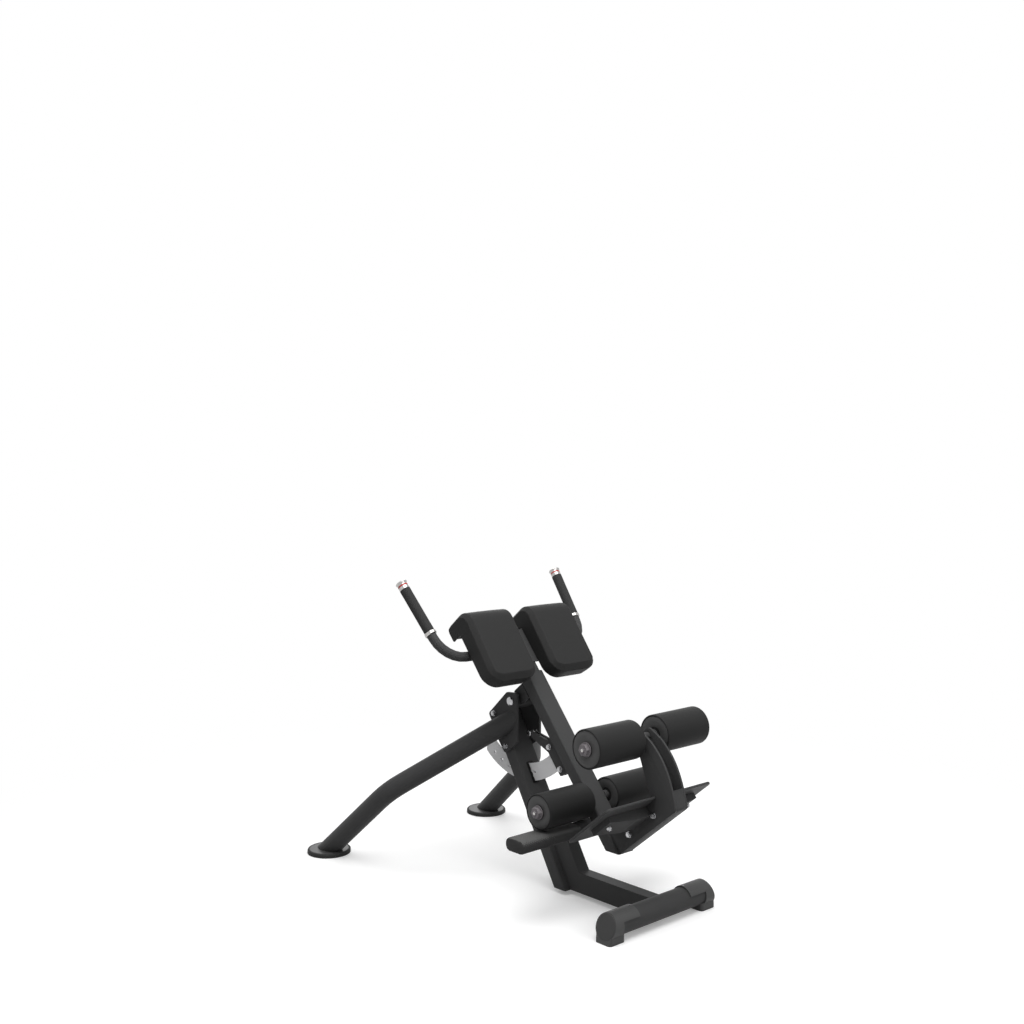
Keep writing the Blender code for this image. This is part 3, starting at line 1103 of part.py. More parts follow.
def handles():
    """Bent handle tubes welded to the slide tube, with grips, collars and end caps."""
    depth = BEAM_FRONT - BEAM_DEPTH / 2
    collar_end = COLLAR_START + COLLAR_LENGTH
    grip_start = collar_end + SEAT
    grip_end = grip_start + GRIP_LENGTH
    cap_start = grip_end + SEAT
    cap_end = cap_start + GRIP_CAP_LENGTH
    tube_end = cap_start + GRIP_CAP_SOCKET
    for side, sign in SIDES:
        root = (HANDLE_STATION, sign * (SLIDE_WIDTH / 2 + SEAT), depth)
        corner = Vector((HANDLE_STATION, sign * HANDLE_REACH, depth))
        along = Vector((-math.cos(HANDLE_FLARE), sign * math.sin(HANDLE_FLARE), 0))
        tip = corner + along * tube_end
        name = "handle_" + side
        path = bent_path([root, tuple(corner), tuple(tip)], HANDLE_BEND, 6)
        mesh = tube_mesh(name, path, HANDLE_RADIUS, 16)
        smooth(mesh)
        handle = add(name, mesh, "frame_paint", BEAM_FRAME)
        past = corner + along * (tube_end + 0.02)
        before = (HANDLE_STATION, sign * (SLIDE_WIDTH / 2 - 0.02), depth)
        hollow = bent_path([before, tuple(corner), tuple(past)], HANDLE_BEND, 4)
        mesh = tube_mesh(name + "_hollow", hollow, HANDLE_RADIUS - HANDLE_WALL, 10)
        shape(handle, tool(name + "_hollow", mesh, BEAM_FRAME))
        turn = along.to_track_quat("Z", "Y").to_euler()
        where = dict(parent=BEAM_FRAME, location=corner, rotation=turn)
        bore = HANDLE_RADIUS + SEAT
        ring = [(bore, collar_end), (COLLAR_RADIUS - 0.002, collar_end), (COLLAR_RADIUS, collar_end - 0.002)]
        ring += [(COLLAR_RADIUS, COLLAR_START + 0.002), (COLLAR_RADIUS - 0.002, COLLAR_START)]
        ring += [(bore, COLLAR_START)]
        turned("grip_collar_" + side, ring, "chrome_trim", 20, True, **where)
        sleeve = [(bore, grip_end), (GRIP_RADIUS, grip_end), (GRIP_RADIUS, grip_start), (bore, grip_start)]
        turned("grip_" + side, sleeve, "black_rubber", 20, True, **where)
        cap = [(0, cap_end), (GRIP_CAP_RADIUS * 0.8, cap_end), (GRIP_CAP_RADIUS, cap_end - 0.003)]
        cap += [(GRIP_CAP_RADIUS * 0.86, cap_end - 0.008), (GRIP_CAP_RADIUS * 0.9, cap_start)]
        cap += [(bore, cap_start), (bore, tube_end + SEAT), (0, tube_end + SEAT)]
        turned("grip_cap_" + side, cap, "chrome_trim", 20, **where)


base_beam()
front_foot()
upright_post()
slot_bezel()
cheek_plates()
rear_legs()
main_beam()
pivot_sleeve()
sector_plate()
sector_bracket()
lock_pin_set()
arm_bracket()
foot_plate()
foot_peg()
rollers()
slide()
for pad_side, pad_sign in SIDES:
    hip_pad(pad_side, pad_sign)
handles()
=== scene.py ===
# %% [markdown]
# A hyperextension bench is a gym frame with two hip pads on a sloping beam, foam rollers that hold the
# ankles, and a plate for the feet. The metal pieces come ready from the CAD model, which is loaded as a
# fixed frame. This script gives them their finishes, and builds the soft and moulded pieces in more detail.

# %% Load the bench
import json
import math

import bmesh
import bpy
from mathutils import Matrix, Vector


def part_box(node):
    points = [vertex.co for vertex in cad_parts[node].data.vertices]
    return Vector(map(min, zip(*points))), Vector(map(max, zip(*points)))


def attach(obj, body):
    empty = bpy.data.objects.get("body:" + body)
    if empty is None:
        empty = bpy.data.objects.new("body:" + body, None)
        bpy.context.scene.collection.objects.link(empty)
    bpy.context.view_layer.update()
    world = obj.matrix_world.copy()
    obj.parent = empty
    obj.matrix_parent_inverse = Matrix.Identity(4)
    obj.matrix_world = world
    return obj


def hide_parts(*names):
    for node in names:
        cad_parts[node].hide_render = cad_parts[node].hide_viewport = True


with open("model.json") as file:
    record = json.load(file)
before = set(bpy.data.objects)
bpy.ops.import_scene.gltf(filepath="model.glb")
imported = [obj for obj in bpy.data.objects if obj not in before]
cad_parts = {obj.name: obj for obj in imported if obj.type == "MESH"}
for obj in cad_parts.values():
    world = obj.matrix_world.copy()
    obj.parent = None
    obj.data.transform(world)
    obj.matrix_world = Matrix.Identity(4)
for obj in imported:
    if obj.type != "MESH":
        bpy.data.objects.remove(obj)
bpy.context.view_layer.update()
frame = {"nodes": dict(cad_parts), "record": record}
nodes = frame["nodes"]

# %% [markdown]
# The sloping beam carries most of the pieces, so places are easiest to give along it. A small function
# turns a distance down the beam, a distance across the bench and a distance out of the beam's front into
# a point of the scene. The upright has a slope of its own, and the same function serves it.

# %% Directions of the beam and the upright
PIVOT = Vector((-0.0011, 0.0, 0.6378))
BEAM_SLOPE = math.radians(50.8)
POST_SLOPE = math.radians(59.2)


def on_slope(along, across, out, slope=BEAM_SLOPE):
    """A point given along a slope, across the bench and out of the slope's front."""
    x = along * math.cos(slope) + out * math.sin(slope)
    z = out * math.cos(slope) - along * math.sin(slope)
    return PIVOT + Vector((x, across, z))


SIDES = (("left", -1), ("right", 1))
print("foot of the beam is near", [round(v, 3) for v in on_slope(0.6, 0, 0.1)])

# %% [markdown]
# The picture is taken from the front left at a little above the height of the pads, with a normal lens.
# The view transform is Standard, so that a colour shows as it is written.

# %% Camera
LENS = 42.07
CAMERA_PLACE = (3.1917, -2.9079, 1.5)
CAMERA_DROP = 2.40
CAMERA_HEADING = 48.18

camera_data = bpy.data.cameras.new("camera")
camera_data.lens = LENS
camera_data.sensor_width = 36.0
camera = bpy.data.objects.new("camera", camera_data)
camera.location = CAMERA_PLACE
camera.rotation_euler = (math.radians(90 - CAMERA_DROP), 0, math.radians(CAMERA_HEADING))
bpy.context.scene.collection.objects.link(camera)
bpy.context.scene.camera = camera
bpy.context.scene.view_settings.view_transform = "Standard"
print("camera at", tuple(camera.location))

# %% [markdown]
# A dark object on white needs soft light from above, from the front, from the near side and from behind,
# so that each face keeps its own shade. Four large area lamps give that. For the light on the object the
# world is a grey that is brighter overhead, as in a room with a pale ceiling. It is white where the
# camera, a mirror surface or glass sees it.

# %% Lamps and world
LAMP_AIM = (0, 0, 0.4)
LAMPS = (
    ("lamp_above", (0.9, -0.5, 3.4), 2.8, 96),
    ("lamp_front", (3.6, 0.6, 2.2), 1.6, 19),
    ("lamp_near_side", (-0.6, -3.4, 2.0), 1.6, 2.0),
    ("lamp_behind", (-3.2, 2.4, 2.4), 2.0, 34),
)


def area_lamp(name, place, size, power):
    """A square soft lamp that points at the middle of the bench."""
    data = bpy.data.lights.new(name, "AREA")
    data.size = size
    data.energy = power
    lamp = bpy.data.objects.new(name, data)
    lamp.location = place
    lamp.rotation_euler = (Vector(LAMP_AIM) - Vector(place)).to_track_quat("-Z", "Y").to_euler()
    bpy.context.scene.collection.objects.link(lamp)


def math_node(tree, operation):
    """A node of a tree that does one operation on numbers."""
    node = tree.nodes.new("ShaderNodeMath")
    node.operation = operation
    return node


for name, place, size, power in LAMPS:
    area_lamp(name, place, size, power)

LIGHT_AT_HORIZON = 0.04
LIGHT_OVERHEAD = 0.80
world = bpy.data.worlds.new("studio")
bpy.context.scene.world = world
world.use_nodes = True
tree = world.node_tree
tree.nodes.clear()
light_path = tree.nodes.new("ShaderNodeLightPath")
seen = math_node(tree, "MAXIMUM")
clear = math_node(tree, "MAXIMUM")
soft = tree.nodes.new("ShaderNodeBackground")
place = tree.nodes.new("ShaderNodeTexCoord")
height = tree.nodes.new("ShaderNodeSeparateXYZ")
level = tree.nodes.new("ShaderNodeMapRange")
level.inputs["To Min"].default_value = LIGHT_AT_HORIZON
level.inputs["To Max"].default_value = LIGHT_OVERHEAD
tree.links.new(place.outputs["Generated"], height.inputs[0])
tree.links.new(height.outputs["Z"], level.inputs["Value"])
tree.links.new(level.outputs["Result"], soft.inputs["Strength"])
soft.inputs["Color"].default_value = (1, 1, 1, 1)
white = tree.nodes.new("ShaderNodeBackground")
white.inputs["Color"].default_value = (1, 1, 1, 1)
mix = tree.nodes.new("ShaderNodeMixShader")
output = tree.nodes.new("ShaderNodeOutputWorld")
tree.links.new(light_path.outputs["Is Camera Ray"], seen.inputs[0])
tree.links.new(light_path.outputs["Is Transmission Ray"], seen.inputs[1])
tree.links.new(seen.outputs[0], clear.inputs[0])
tree.links.new(light_path.outputs["Is Glossy Ray"], clear.inputs[1])
tree.links.new(clear.outputs[0], mix.inputs["Fac"])
tree.links.new(soft.outputs[0], mix.inputs[1])
tree.links.new(white.outputs[0], mix.inputs[2])
tree.links.new(mix.outputs[0], output.inputs["Surface"])
print("four lamps and a world that is brighter overhead")

# %% [markdown]
# The floor is a large pale plane. For the camera a little glow is added to it, which lifts the lit floor
# to white and leaves the soft shadow under the bench. Further out it turns into plain white, so that no
# horizon shows.

# %% Floor
FLOOR_REACH = 60.0
FLOOR_DROP = 0.0005
FLOOR_COLOUR = (0.85, 0.85, 0.85, 1)
FLOOR_GLOW = 0.22
FLOOR_BOUNCE = (0.42, 0.42, 0.42, 1)
SHADOW_REACH = 1.3
WHITE_FROM = 2.6


def floor_plane():
    """A wide pale floor that keeps the object's shadow and is plain white further out."""
    mesh = bpy.data.meshes.new("floor")
    far = FLOOR_REACH
    corners = [(-far, -far, 0), (far, -far, 0), (far, far, 0), (-far, far, 0)]
    mesh.from_pydata(corners, [], [(0, 1, 2, 3)])
    floor = bpy.data.objects.new("floor", mesh)
    floor.location.z = -FLOOR_DROP
    bpy.context.scene.collection.objects.link(floor)
    material = bpy.data.materials.new("pale_floor")
    material.use_nodes = True
    tree = material.node_tree
    shader = tree.nodes["Principled BSDF"]
    shader.inputs["Base Color"].default_value = FLOOR_COLOUR
    shader.inputs["Roughness"].default_value = 0.9
    shader.inputs["Specular IOR Level"].default_value = 0.0
    glow = tree.nodes.new("ShaderNodeEmission")
    glow.inputs["Strength"].default_value = FLOOR_GLOW
    bounce = tree.nodes.new("ShaderNodeBsdfDiffuse")
    bounce.inputs["Color"].default_value = FLOOR_BOUNCE
    total = tree.nodes.new("ShaderNodeAddShader")
    plain = tree.nodes.new("ShaderNodeEmission")
    place = tree.nodes.new("ShaderNodeTexCoord")
    distance = tree.nodes.new("ShaderNodeVectorMath")
    distance.operation = "LENGTH"
    fade = tree.nodes.new("ShaderNodeMapRange")
    fade.interpolation_type = "SMOOTHSTEP"
    fade.inputs["From Min"].default_value = SHADOW_REACH
    fade.inputs["From Max"].default_value = WHITE_FROM
    outward = tree.nodes.new("ShaderNodeMixShader")
    choose = tree.nodes.new("ShaderNodeMixShader")
    path = tree.nodes.new("ShaderNodeLightPath")
    seen = math_node(tree, "MAXIMUM")
    tree.links.new(place.outputs["Object"], distance.inputs[0])
    tree.links.new(distance.outputs["Value"], fade.inputs["Value"])
    tree.links.new(fade.outputs["Result"], outward.inputs["Fac"])
    tree.links.new(path.outputs["Is Camera Ray"], seen.inputs[0])
    tree.links.new(path.outputs["Is Glossy Ray"], seen.inputs[1])
    tree.links.new(shader.outputs[0], total.inputs[0])
    tree.links.new(glow.outputs[0], total.inputs[1])
    tree.links.new(total.outputs[0], outward.inputs[1])
    tree.links.new(plain.outputs[0], outward.inputs[2])
    tree.links.new(seen.outputs[0], choose.inputs["Fac"])
    tree.links.new(bounce.outputs[0], choose.inputs[1])
    tree.links.new(outward.outputs[0], choose.inputs[2])
    tree.links.new(choose.outputs[0], tree.nodes["Material Output"].inputs["Surface"])
    mesh.materials.append(material)


floor_plane()
print("floor laid")

# %% [markdown]
# Two surface effects return in many finishes, so each is a node group made once. The first is the fine
# orange-peel of powder coat and moulded plastic: small noise for the height and the gloss, and a wide,
# faint noise for the colour. The second is the pebble grain of synthetic leather, from a cell pattern.

# %% Shader groups
def new_group(name, numbers):
    """A shader group with a vector, a colour and some numbers going in, and three results coming out."""
    group = bpy.data.node_groups.new(name, "ShaderNodeTree")
    group.interface.new_socket("Vector", in_out="INPUT", socket_type="NodeSocketVector")
    group.interface.new_socket("Colour", in_out="INPUT", socket_type="NodeSocketColor")
    for label, value in numbers:
        socket = group.interface.new_socket(label, in_out="INPUT", socket_type="NodeSocketFloat")
        socket.default_value = value
    group.interface.new_socket("Colour", in_out="OUTPUT", socket_type="NodeSocketColor")
    group.interface.new_socket("Roughness", in_out="OUTPUT", socket_type="NodeSocketFloat")
    group.interface.new_socket("Height", in_out="OUTPUT", socket_type="NodeSocketFloat")
    return group, group.nodes.new("NodeGroupInput"), group.nodes.new("NodeGroupOutput")


def spread(group, value, amount, middle):
    """A noise value turned into a middle, socket or number, plus or minus an amount from a socket."""
    step = math_node(group, "SUBTRACT")
    group.links.new(value, step.inputs[0])
    step.inputs[1].default_value = 0.5
    scaled = math_node(group, "MULTIPLY_ADD")
    group.links.new(step.outputs[0], scaled.inputs[0])
    group.links.new(amount, scaled.inputs[1])
    if isinstance(middle, float):
        scaled.inputs[2].default_value = middle
    else:
        group.links.new(middle, scaled.inputs[2])
    return scaled.outputs[0]


def cloud(group, given, scale, detail):
    """A noise pattern read at the group's vector."""
    pattern = group.nodes.new("ShaderNodeTexNoise")
    pattern.inputs["Detail"].default_value = detail
    group.links.new(given.outputs["Vector"], pattern.inputs["Vector"])
    if isinstance(scale, float):
        pattern.inputs["Scale"].default_value = scale
    else:
        group.links.new(scale, pattern.inputs["Scale"])
    return pattern.outputs["Fac"]


def tinted(group, given, value):
    """The group's colour made lighter and darker by a value near one."""
    tint = group.nodes.new("ShaderNodeVectorMath")
    tint.operation = "SCALE"
    group.links.new(given.outputs["Colour"], tint.inputs[0])
    group.links.new(value, tint.inputs["Scale"])
    return tint.outputs[0]


NUMBERS = (("Scale", 800.0), ("Mottle", 0.15), ("Roughness", 0.5), ("Roughness spread", 0.1))
orange_peel, given, result = new_group("orange_peel", NUMBERS)
fine = cloud(orange_peel, given, given.outputs["Scale"], 2.0)
wide = cloud(orange_peel, given, 14.0, 3.0)
shade = spread(orange_peel, wide, given.outputs["Mottle"], 1.0)
orange_peel.links.new(tinted(orange_peel, given, shade), result.inputs["Colour"])
gloss = spread(orange_peel, fine, given.outputs["Roughness spread"], given.outputs["Roughness"])
orange_peel.links.new(gloss, result.inputs["Roughness"])
orange_peel.links.new(fine, result.inputs["Height"])

pebble_grain, given, result = new_group("pebble_grain", NUMBERS)
cells = pebble_grain.nodes.new("ShaderNodeTexVoronoi")
cells.feature = "DISTANCE_TO_EDGE"
pebble_grain.links.new(given.outputs["Vector"], cells.inputs["Vector"])
pebble_grain.links.new(given.outputs["Scale"], cells.inputs["Scale"])
wide = cloud(pebble_grain, given, 22.0, 3.0)
shade = spread(pebble_grain, wide, given.outputs["Mottle"], 1.0)
pebble_grain.links.new(tinted(pebble_grain, given, shade), result.inputs["Colour"])
gloss = spread(pebble_grain, wide, given.outputs["Roughness spread"], given.outputs["Roughness"])
pebble_grain.links.new(gloss, result.inputs["Roughness"])
pebble_grain.links.new(cells.outputs["Distance"], result.inputs["Height"])
print("groups:", orange_peel.name, pebble_grain.name)

# %% [markdown]
# Every finish is one Principled material that holds a group and its own values: the group, its colour,
# metal or not, the specular level, the four numbers of the group, and the strength of the bump.

# %% Finishes
FINISHES = {
    "charcoal_powder_coat": (orange_peel, (0.054, 0.054, 0.0545), 0.0, 0.08, (650.0, 0.06, 0.50, 0.08), 0.05),
    "light_grey_paint": (orange_peel, (0.78, 0.78, 0.79), 0.0, 0.30, (700.0, 0.04, 0.42, 0.10), 0.08),
    "bright_zinc": (orange_peel, (0.42, 0.42, 0.43), 1.0, 0.50, (260.0, 0.14, 0.26, 0.14), 0.06),
    "polished_trim": (orange_peel, (0.43, 0.42, 0.41), 1.0, 0.50, (120.0, 0.04, 0.20, 0.06), 0.02),
    "red_ring": (orange_peel, (0.42, 0.035, 0.030), 0.0, 0.30, (400.0, 0.05, 0.40, 0.06), 0.05),
    "moulded_plastic": (orange_peel, (0.066, 0.066, 0.066), 0.0, 0.20, (900.0, 0.06, 0.48, 0.10), 0.08),
    "black_moulding": (orange_peel, (0.006, 0.006, 0.006), 0.0, 0.12, (900.0, 0.10, 0.50, 0.12), 0.08),
    "matt_rubber": (orange_peel, (0.040, 0.040, 0.040), 0.0, 0.12, (500.0, 0.10, 0.70, 0.12), 0.12),
    "sleeve_rubber": (orange_peel, (0.042, 0.042, 0.042), 0.0, 0.08, (500.0, 0.06, 0.62, 0.10), 0.05),
    "cap_end": (orange_peel, (0.054, 0.054, 0.054), 0.0, 0.16, (900.0, 0.06, 0.48, 0.10), 0.05),
    "grip_foam": (orange_peel, (0.034, 0.034, 0.034), 0.0, 0.12, (700.0, 0.06, 0.75, 0.08), 0.05),
    "roller_skin": (orange_peel, (0.026, 0.026, 0.026), 0.0, 0.05, (300.0, 0.06, 0.50, 0.08), 0.03),
    "hub_disc": (orange_peel, (0.072, 0.072, 0.072), 0.0, 0.18, (700.0, 0.06, 0.46, 0.08), 0.06),
    "pad_vinyl": (pebble_grain, (0.025, 0.025, 0.025), 0.0, 0.10, (620.0, 0.06, 0.60, 0.08), 0.10),
    "birch_ply": (orange_peel, (0.42, 0.30, 0.18), 0.0, 0.30, (90.0, 0.35, 0.62, 0.14), 0.20),
    "liner_plastic": (orange_peel, (0.030, 0.030, 0.030), 0.0, 0.20, (800.0, 0.08, 0.44, 0.10), 0.08),
    "dark_base_plate": (orange_peel, (0.056, 0.056, 0.057), 0.0, 0.30, (650.0, 0.10, 0.38, 0.10), 0.08),
}
BUMP_DEPTH = 0.0004


def make_finish(name):
    """The Principled material of a finish."""
    group, colour, metallic, specular, numbers, bump_strength = FINISHES[name]
    material = bpy.data.materials.new(name)
    material.use_nodes = True
    tree = material.node_tree
    shader = tree.nodes["Principled BSDF"]
    shader.inputs["Metallic"].default_value = metallic
    shader.inputs["Specular IOR Level"].default_value = specular
    place = tree.nodes.new("ShaderNodeTexCoord")
    effect = tree.nodes.new("ShaderNodeGroup")
    effect.node_tree = group
    effect.name = "effect"
    effect.inputs["Colour"].default_value = (*colour, 1.0)
    for (label, _), value in zip(NUMBERS, numbers):
        effect.inputs[label].default_value = value
    bump = tree.nodes.new("ShaderNodeBump")
    bump.inputs["Strength"].default_value = bump_strength
    bump.inputs["Distance"].default_value = BUMP_DEPTH
    tree.links.new(place.outputs["Object"], effect.inputs["Vector"])
    tree.links.new(effect.outputs["Colour"], shader.inputs["Base Color"])
    tree.links.new(effect.outputs["Roughness"], shader.inputs["Roughness"])
    tree.links.new(effect.outputs["Height"], bump.inputs["Height"])
    tree.links.new(bump.outputs["Normal"], shader.inputs["Normal"])
    return material


finishes = {name: make_finish(name) for name in FINISHES}
print("finishes:", ", ".join(sorted(finishes)))

# %% [markdown]
# The two roller axles are painted like the frame, and their nuts are pale with a faint purple
# passivation. The nuts are part of the axle's solid, so the colour changes with the distance from the
# middle of the bench.

# %% Nuts on the axles
def band_mask(tree, distance, start, end):
    """One between two distances and zero elsewhere."""
    past = math_node(tree, "GREATER_THAN")
    before = math_node(tree, "LESS_THAN")
    both = math_node(tree, "MULTIPLY")
    tree.links.new(distance, past.inputs[0])
    tree.links.new(distance, before.inputs[0])
    past.inputs[1].default_value = start
    before.inputs[1].default_value = end
    tree.links.new(past.outputs[0], both.inputs[0])
    tree.links.new(before.outputs[0], both.inputs[1])
    return both.outputs[0]


def recolour(tree, mask, colour):
    """Mixes a colour into a finish's own colour where a mask is one."""
    blend = tree.nodes.new("ShaderNodeMix")
    blend.data_type = "RGBA"
    blend.inputs["B"].default_value = (*colour, 1.0)
    tree.links.new(mask, blend.inputs["Factor"])
    tree.links.new(tree.nodes["effect"].outputs["Colour"], blend.inputs["A"])
    tree.links.new(blend.outputs["Result"], tree.nodes["Principled BSDF"].inputs["Base Color"])


def banded(name, base, start, end, colour):
    """A copy of a finish with another colour between two distances from the bench's middle plane."""
    material = finishes[base].copy()
    material.name = name
    tree = material.node_tree
    place = tree.nodes.new("ShaderNodeTexCoord")
    parts = tree.nodes.new("ShaderNodeSeparateXYZ")
    size = math_node(tree, "ABSOLUTE")
    tree.links.new(place.outputs["Object"], parts.inputs[0])
    tree.links.new(parts.outputs["Y"], size.inputs[0])
    recolour(tree, band_mask(tree, size.outputs[0], start, end), colour)
    return material


NUT_START = 0.2648
NUT_END = 0.2900
NUT_COLOUR = (0.20, 0.185, 0.195)
nut_finish = banded("paint_with_pale_nuts", "charcoal_powder_coat", NUT_START, NUT_END, NUT_COLOUR)
print("banded finish:", nut_finish.name)

# %% [markdown]
# Each CAD node now gets its finish. The frame's tubes and plates share the charcoal powder coat, and
# only the fasteners, the sector plate and the moulded ends differ.

# %% Finishes on the CAD nodes
BY_KIND = {
    "frame_paint": "charcoal_powder_coat",
    "sector_silver": "light_grey_paint",
    "zinc_bolt": "bright_zinc",
    "chrome_trim": "polished_trim",
    "black_plastic": "moulded_plastic",
    "black_rubber": "matt_rubber",
    "foam_skin": "roller_skin",
    "pad_vinyl": "pad_vinyl",
    "birch_ply": "birch_ply",
    "liner_plastic": "liner_plastic",
}
SLOT_OF = {item["node"]: item["material_slot"] for item in frame["record"]["subparts"]}
SPECIAL = {"upper_axle": nut_finish, "lower_axle": nut_finish, "slot_bezel": finishes["black_moulding"]}
for side, _ in SIDES:
    SPECIAL["leg_base_plate_" + side] = finishes["dark_base_plate"]


def dress(piece, material):
    """Gives an object one material."""
    piece.data.materials.clear()
    piece.data.materials.append(material)


for name, node in nodes.items():
    kind = SLOT_OF[name][len(name) + 1:]
    dress(node, SPECIAL.get(name, finishes[BY_KIND[kind]]))

print("finished", len(nodes), "nodes")

# %% [markdown]
# The round soft and moulded pieces are turned shapes. A turned shape is a profile, given as distance
# along an axis and radius, that is swept round that axis in many small steps.

# %% Helper for turned and lofted pieces
def new_piece(name, mesh, body, material, node):
    """A finished object that stands for a CAD node and moves with a body."""
    piece = bpy.data.objects.new(name, mesh)
    bpy.context.scene.collection.objects.link(piece)
    dress(piece, material)
    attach(piece, body)
    if node:
        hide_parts(node)
    return piece


SHARP_FROM = math.radians(38)


def smoothed(work, mesh):
    """Writes the edited faces into a mesh, smooth but for its sharp edges."""
    bmesh.ops.recalc_face_normals(work, faces=work.faces)
    work.to_mesh(mesh)
    work.free()
    mesh.shade_smooth()
    mesh.set_sharp_from_angle(angle=SHARP_FROM)
    return mesh


def loft(name, rings, closed_ends=False, closed_loop=False):
    """A smooth skin through rings of equal length, with closed ends or the last ring joined to the first."""
    work = bmesh.new()
    rows = [[work.verts.new(point) for point in ring] for ring in rings]
    count = len(rings[0])
    pairs = list(zip(rows, rows[1:]))
    if closed_loop:
        pairs.append((rows[-1], rows[0]))
    for first, second in pairs:
        for i in range(count):
            j = (i + 1) % count
            work.faces.new((first[i], first[j], second[j], second[i]))
    if closed_ends:
        work.faces.new(rows[0])
        work.faces.new(list(reversed(rows[-1])))
    return smoothed(work, bpy.data.meshes.new(name))


def turned(name, profile, start, way, steps=96, capped=False):
    """A profile of (distance, radius) swept round an axis: a closed ring, or open with capped ends."""
    way = Vector(way).normalized()
    side = way.orthogonal().normalized()
    up = way.cross(side)
    rings = []
    for distance, radius in profile:
        centre = Vector(start) + way * distance
        angles = [2 * math.pi * step / steps for step in range(steps)]
        rings.append([centre + (side * math.cos(a) + up * math.sin(a)) * radius for a in angles])
    return loft(name, rings, closed_ends=capped, closed_loop=not capped)


def arc(centre, radius, start, end, steps):
    """Points of an arc, in degrees, as (distance, radius) pairs."""
    points = []
    for step in range(steps + 1):
        angle = math.radians(start + (end - start) * step / steps)
        points.append((centre[0] + radius * math.cos(angle), centre[1] + radius * math.sin(angle)))
    return points


print("helpers ready")

# %% [markdown]
# A foam roller has a satin skin, a rounded rim and a hub disc let into each end, with a narrow groove
# where the disc meets the skin. The groove and the rim catch the light as a thin ring.

# %% Foam rollers
SKIN_INSET = 0.0002
ROLLER_BORE = 0.0131
ROLLER_RIM = 0.0045
DISC_MARGIN = 0.0062
GROOVE_WIDTH = 0.0012
DISC_SEAT = 0.0030
DISC_PROUD = 0.0006
NUT_POCKET = 0.0250


def roller_profile(length, radius):
    """One end of a roller from the bore to the rim, then the other end."""
    half = length / 2
    groove = radius - DISC_MARGIN + GROOVE_WIDTH
    end = [(half - DISC_SEAT, ROLLER_BORE), (half - DISC_SEAT, groove)]
    end += [(half - 0.0008, groove), (half - 0.0002, groove + 0.0004)]
    end += arc((half - ROLLER_RIM, radius - ROLLER_RIM), ROLLER_RIM, 0, 90, 8)
    return end + [(-x, r) for x, r in reversed(end)]


def disc_profile(radius):
    """A hub disc as a ring, from the back of its bore over its front to its edge."""
    front = DISC_SEAT - DISC_PROUD
    edge = radius - DISC_MARGIN
    face = [(0.0, NUT_POCKET - 0.0015), (front - 0.0012, NUT_POCKET - 0.0015), (front - 0.0006, NUT_POCKET)]
    face += [(front, (NUT_POCKET + edge) / 2), (front - 0.0002, edge - 0.0012)]
    return face + [(front - 0.0010, edge), (0.0, edge)]


ROLLER_RADII = {"upper": 0.064 - SKIN_INSET, "lower": 0.060 - SKIN_INSET}
for level, radius in ROLLER_RADII.items():
    for side, sign in SIDES:
        node = f"{level}_roller_{side}"
        low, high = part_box(node)
        centre = (low + high) / 2
        mesh = turned(node + "_foam", roller_profile(high.y - low.y, radius), centre, (0, 1, 0))
        piece = new_piece(node + "_foam", mesh, f"{level}_{side}_roller", finishes["roller_skin"], node)
        for end, way in (("outer", sign), ("inner", -sign)):
            seat = Vector((centre.x, centre.y + way * ((high.y - low.y) / 2 - DISC_SEAT), centre.z))
            mesh = turned(f"{node}_{end}_disc", disc_profile(radius), seat, (0, way, 0))
            disc = new_piece(f"{node}_{end}_disc", mesh, f"{level}_{side}_roller", finishes["hub_disc"], None)
print("four rollers with their hub discs")

# %% [markdown]
# The grips are sleeves of foam rubber, slightly fuller at both ends, where they meet the polished collar
# and cap. The cap is a turned piece as well: it narrows to a waist, flares out at its end, and holds a
# red ring in a shallow groove.

# %% Grips
HANDLE_ELBOW = (-0.153, 0.3393, 0.0967)
HANDLE_FLARE = math.radians(6.5)
GRIP_START = 0.1153
GRIP_LENGTH = 0.182
GRIP_RADIUS = 0.0194
GRIP_BORE = 0.0178
GRIP_END_SWELL = 0.0002
GRIP_ROUNDING = 0.0015
CAP_START = 0.2976
CAP_LENGTH = 0.0311
CAP_RADIUS = 0.0217
CAP_SOCKET = 0.0078
CAP_WAIST = 0.86
CAP_MIDDLE = 0.0001
RING_START = 0.0125
RING_END = 0.0175


def grip_line(sign):
    """The elbow of a handle and the direction of its grip."""
    along, across, out = HANDLE_ELBOW
    elbow = on_slope(along, sign * across, out)
    tip = on_slope(along - math.cos(HANDLE_FLARE), sign * (across + math.sin(HANDLE_FLARE)), out)
    return elbow, (tip - elbow).normalized()


def grip_profile():
    """A closed sleeve profile with softly rounded ends."""
    radius = GRIP_RADIUS
    ends = radius - GRIP_ROUNDING
    outer = arc((GRIP_ROUNDING, ends), GRIP_ROUNDING, 180, 90, 4)
    for step in range(1, 12):
        share = step / 12
        swell = GRIP_END_SWELL * (2 * share - 1) ** 4
        outer.append((GRIP_LENGTH * share, radius - GRIP_END_SWELL + swell))
    outer += arc((GRIP_LENGTH - GRIP_ROUNDING, ends), GRIP_ROUNDING, 90, 0, 4)
    return outer + [(GRIP_LENGTH, GRIP_BORE), (0.0, GRIP_BORE)]


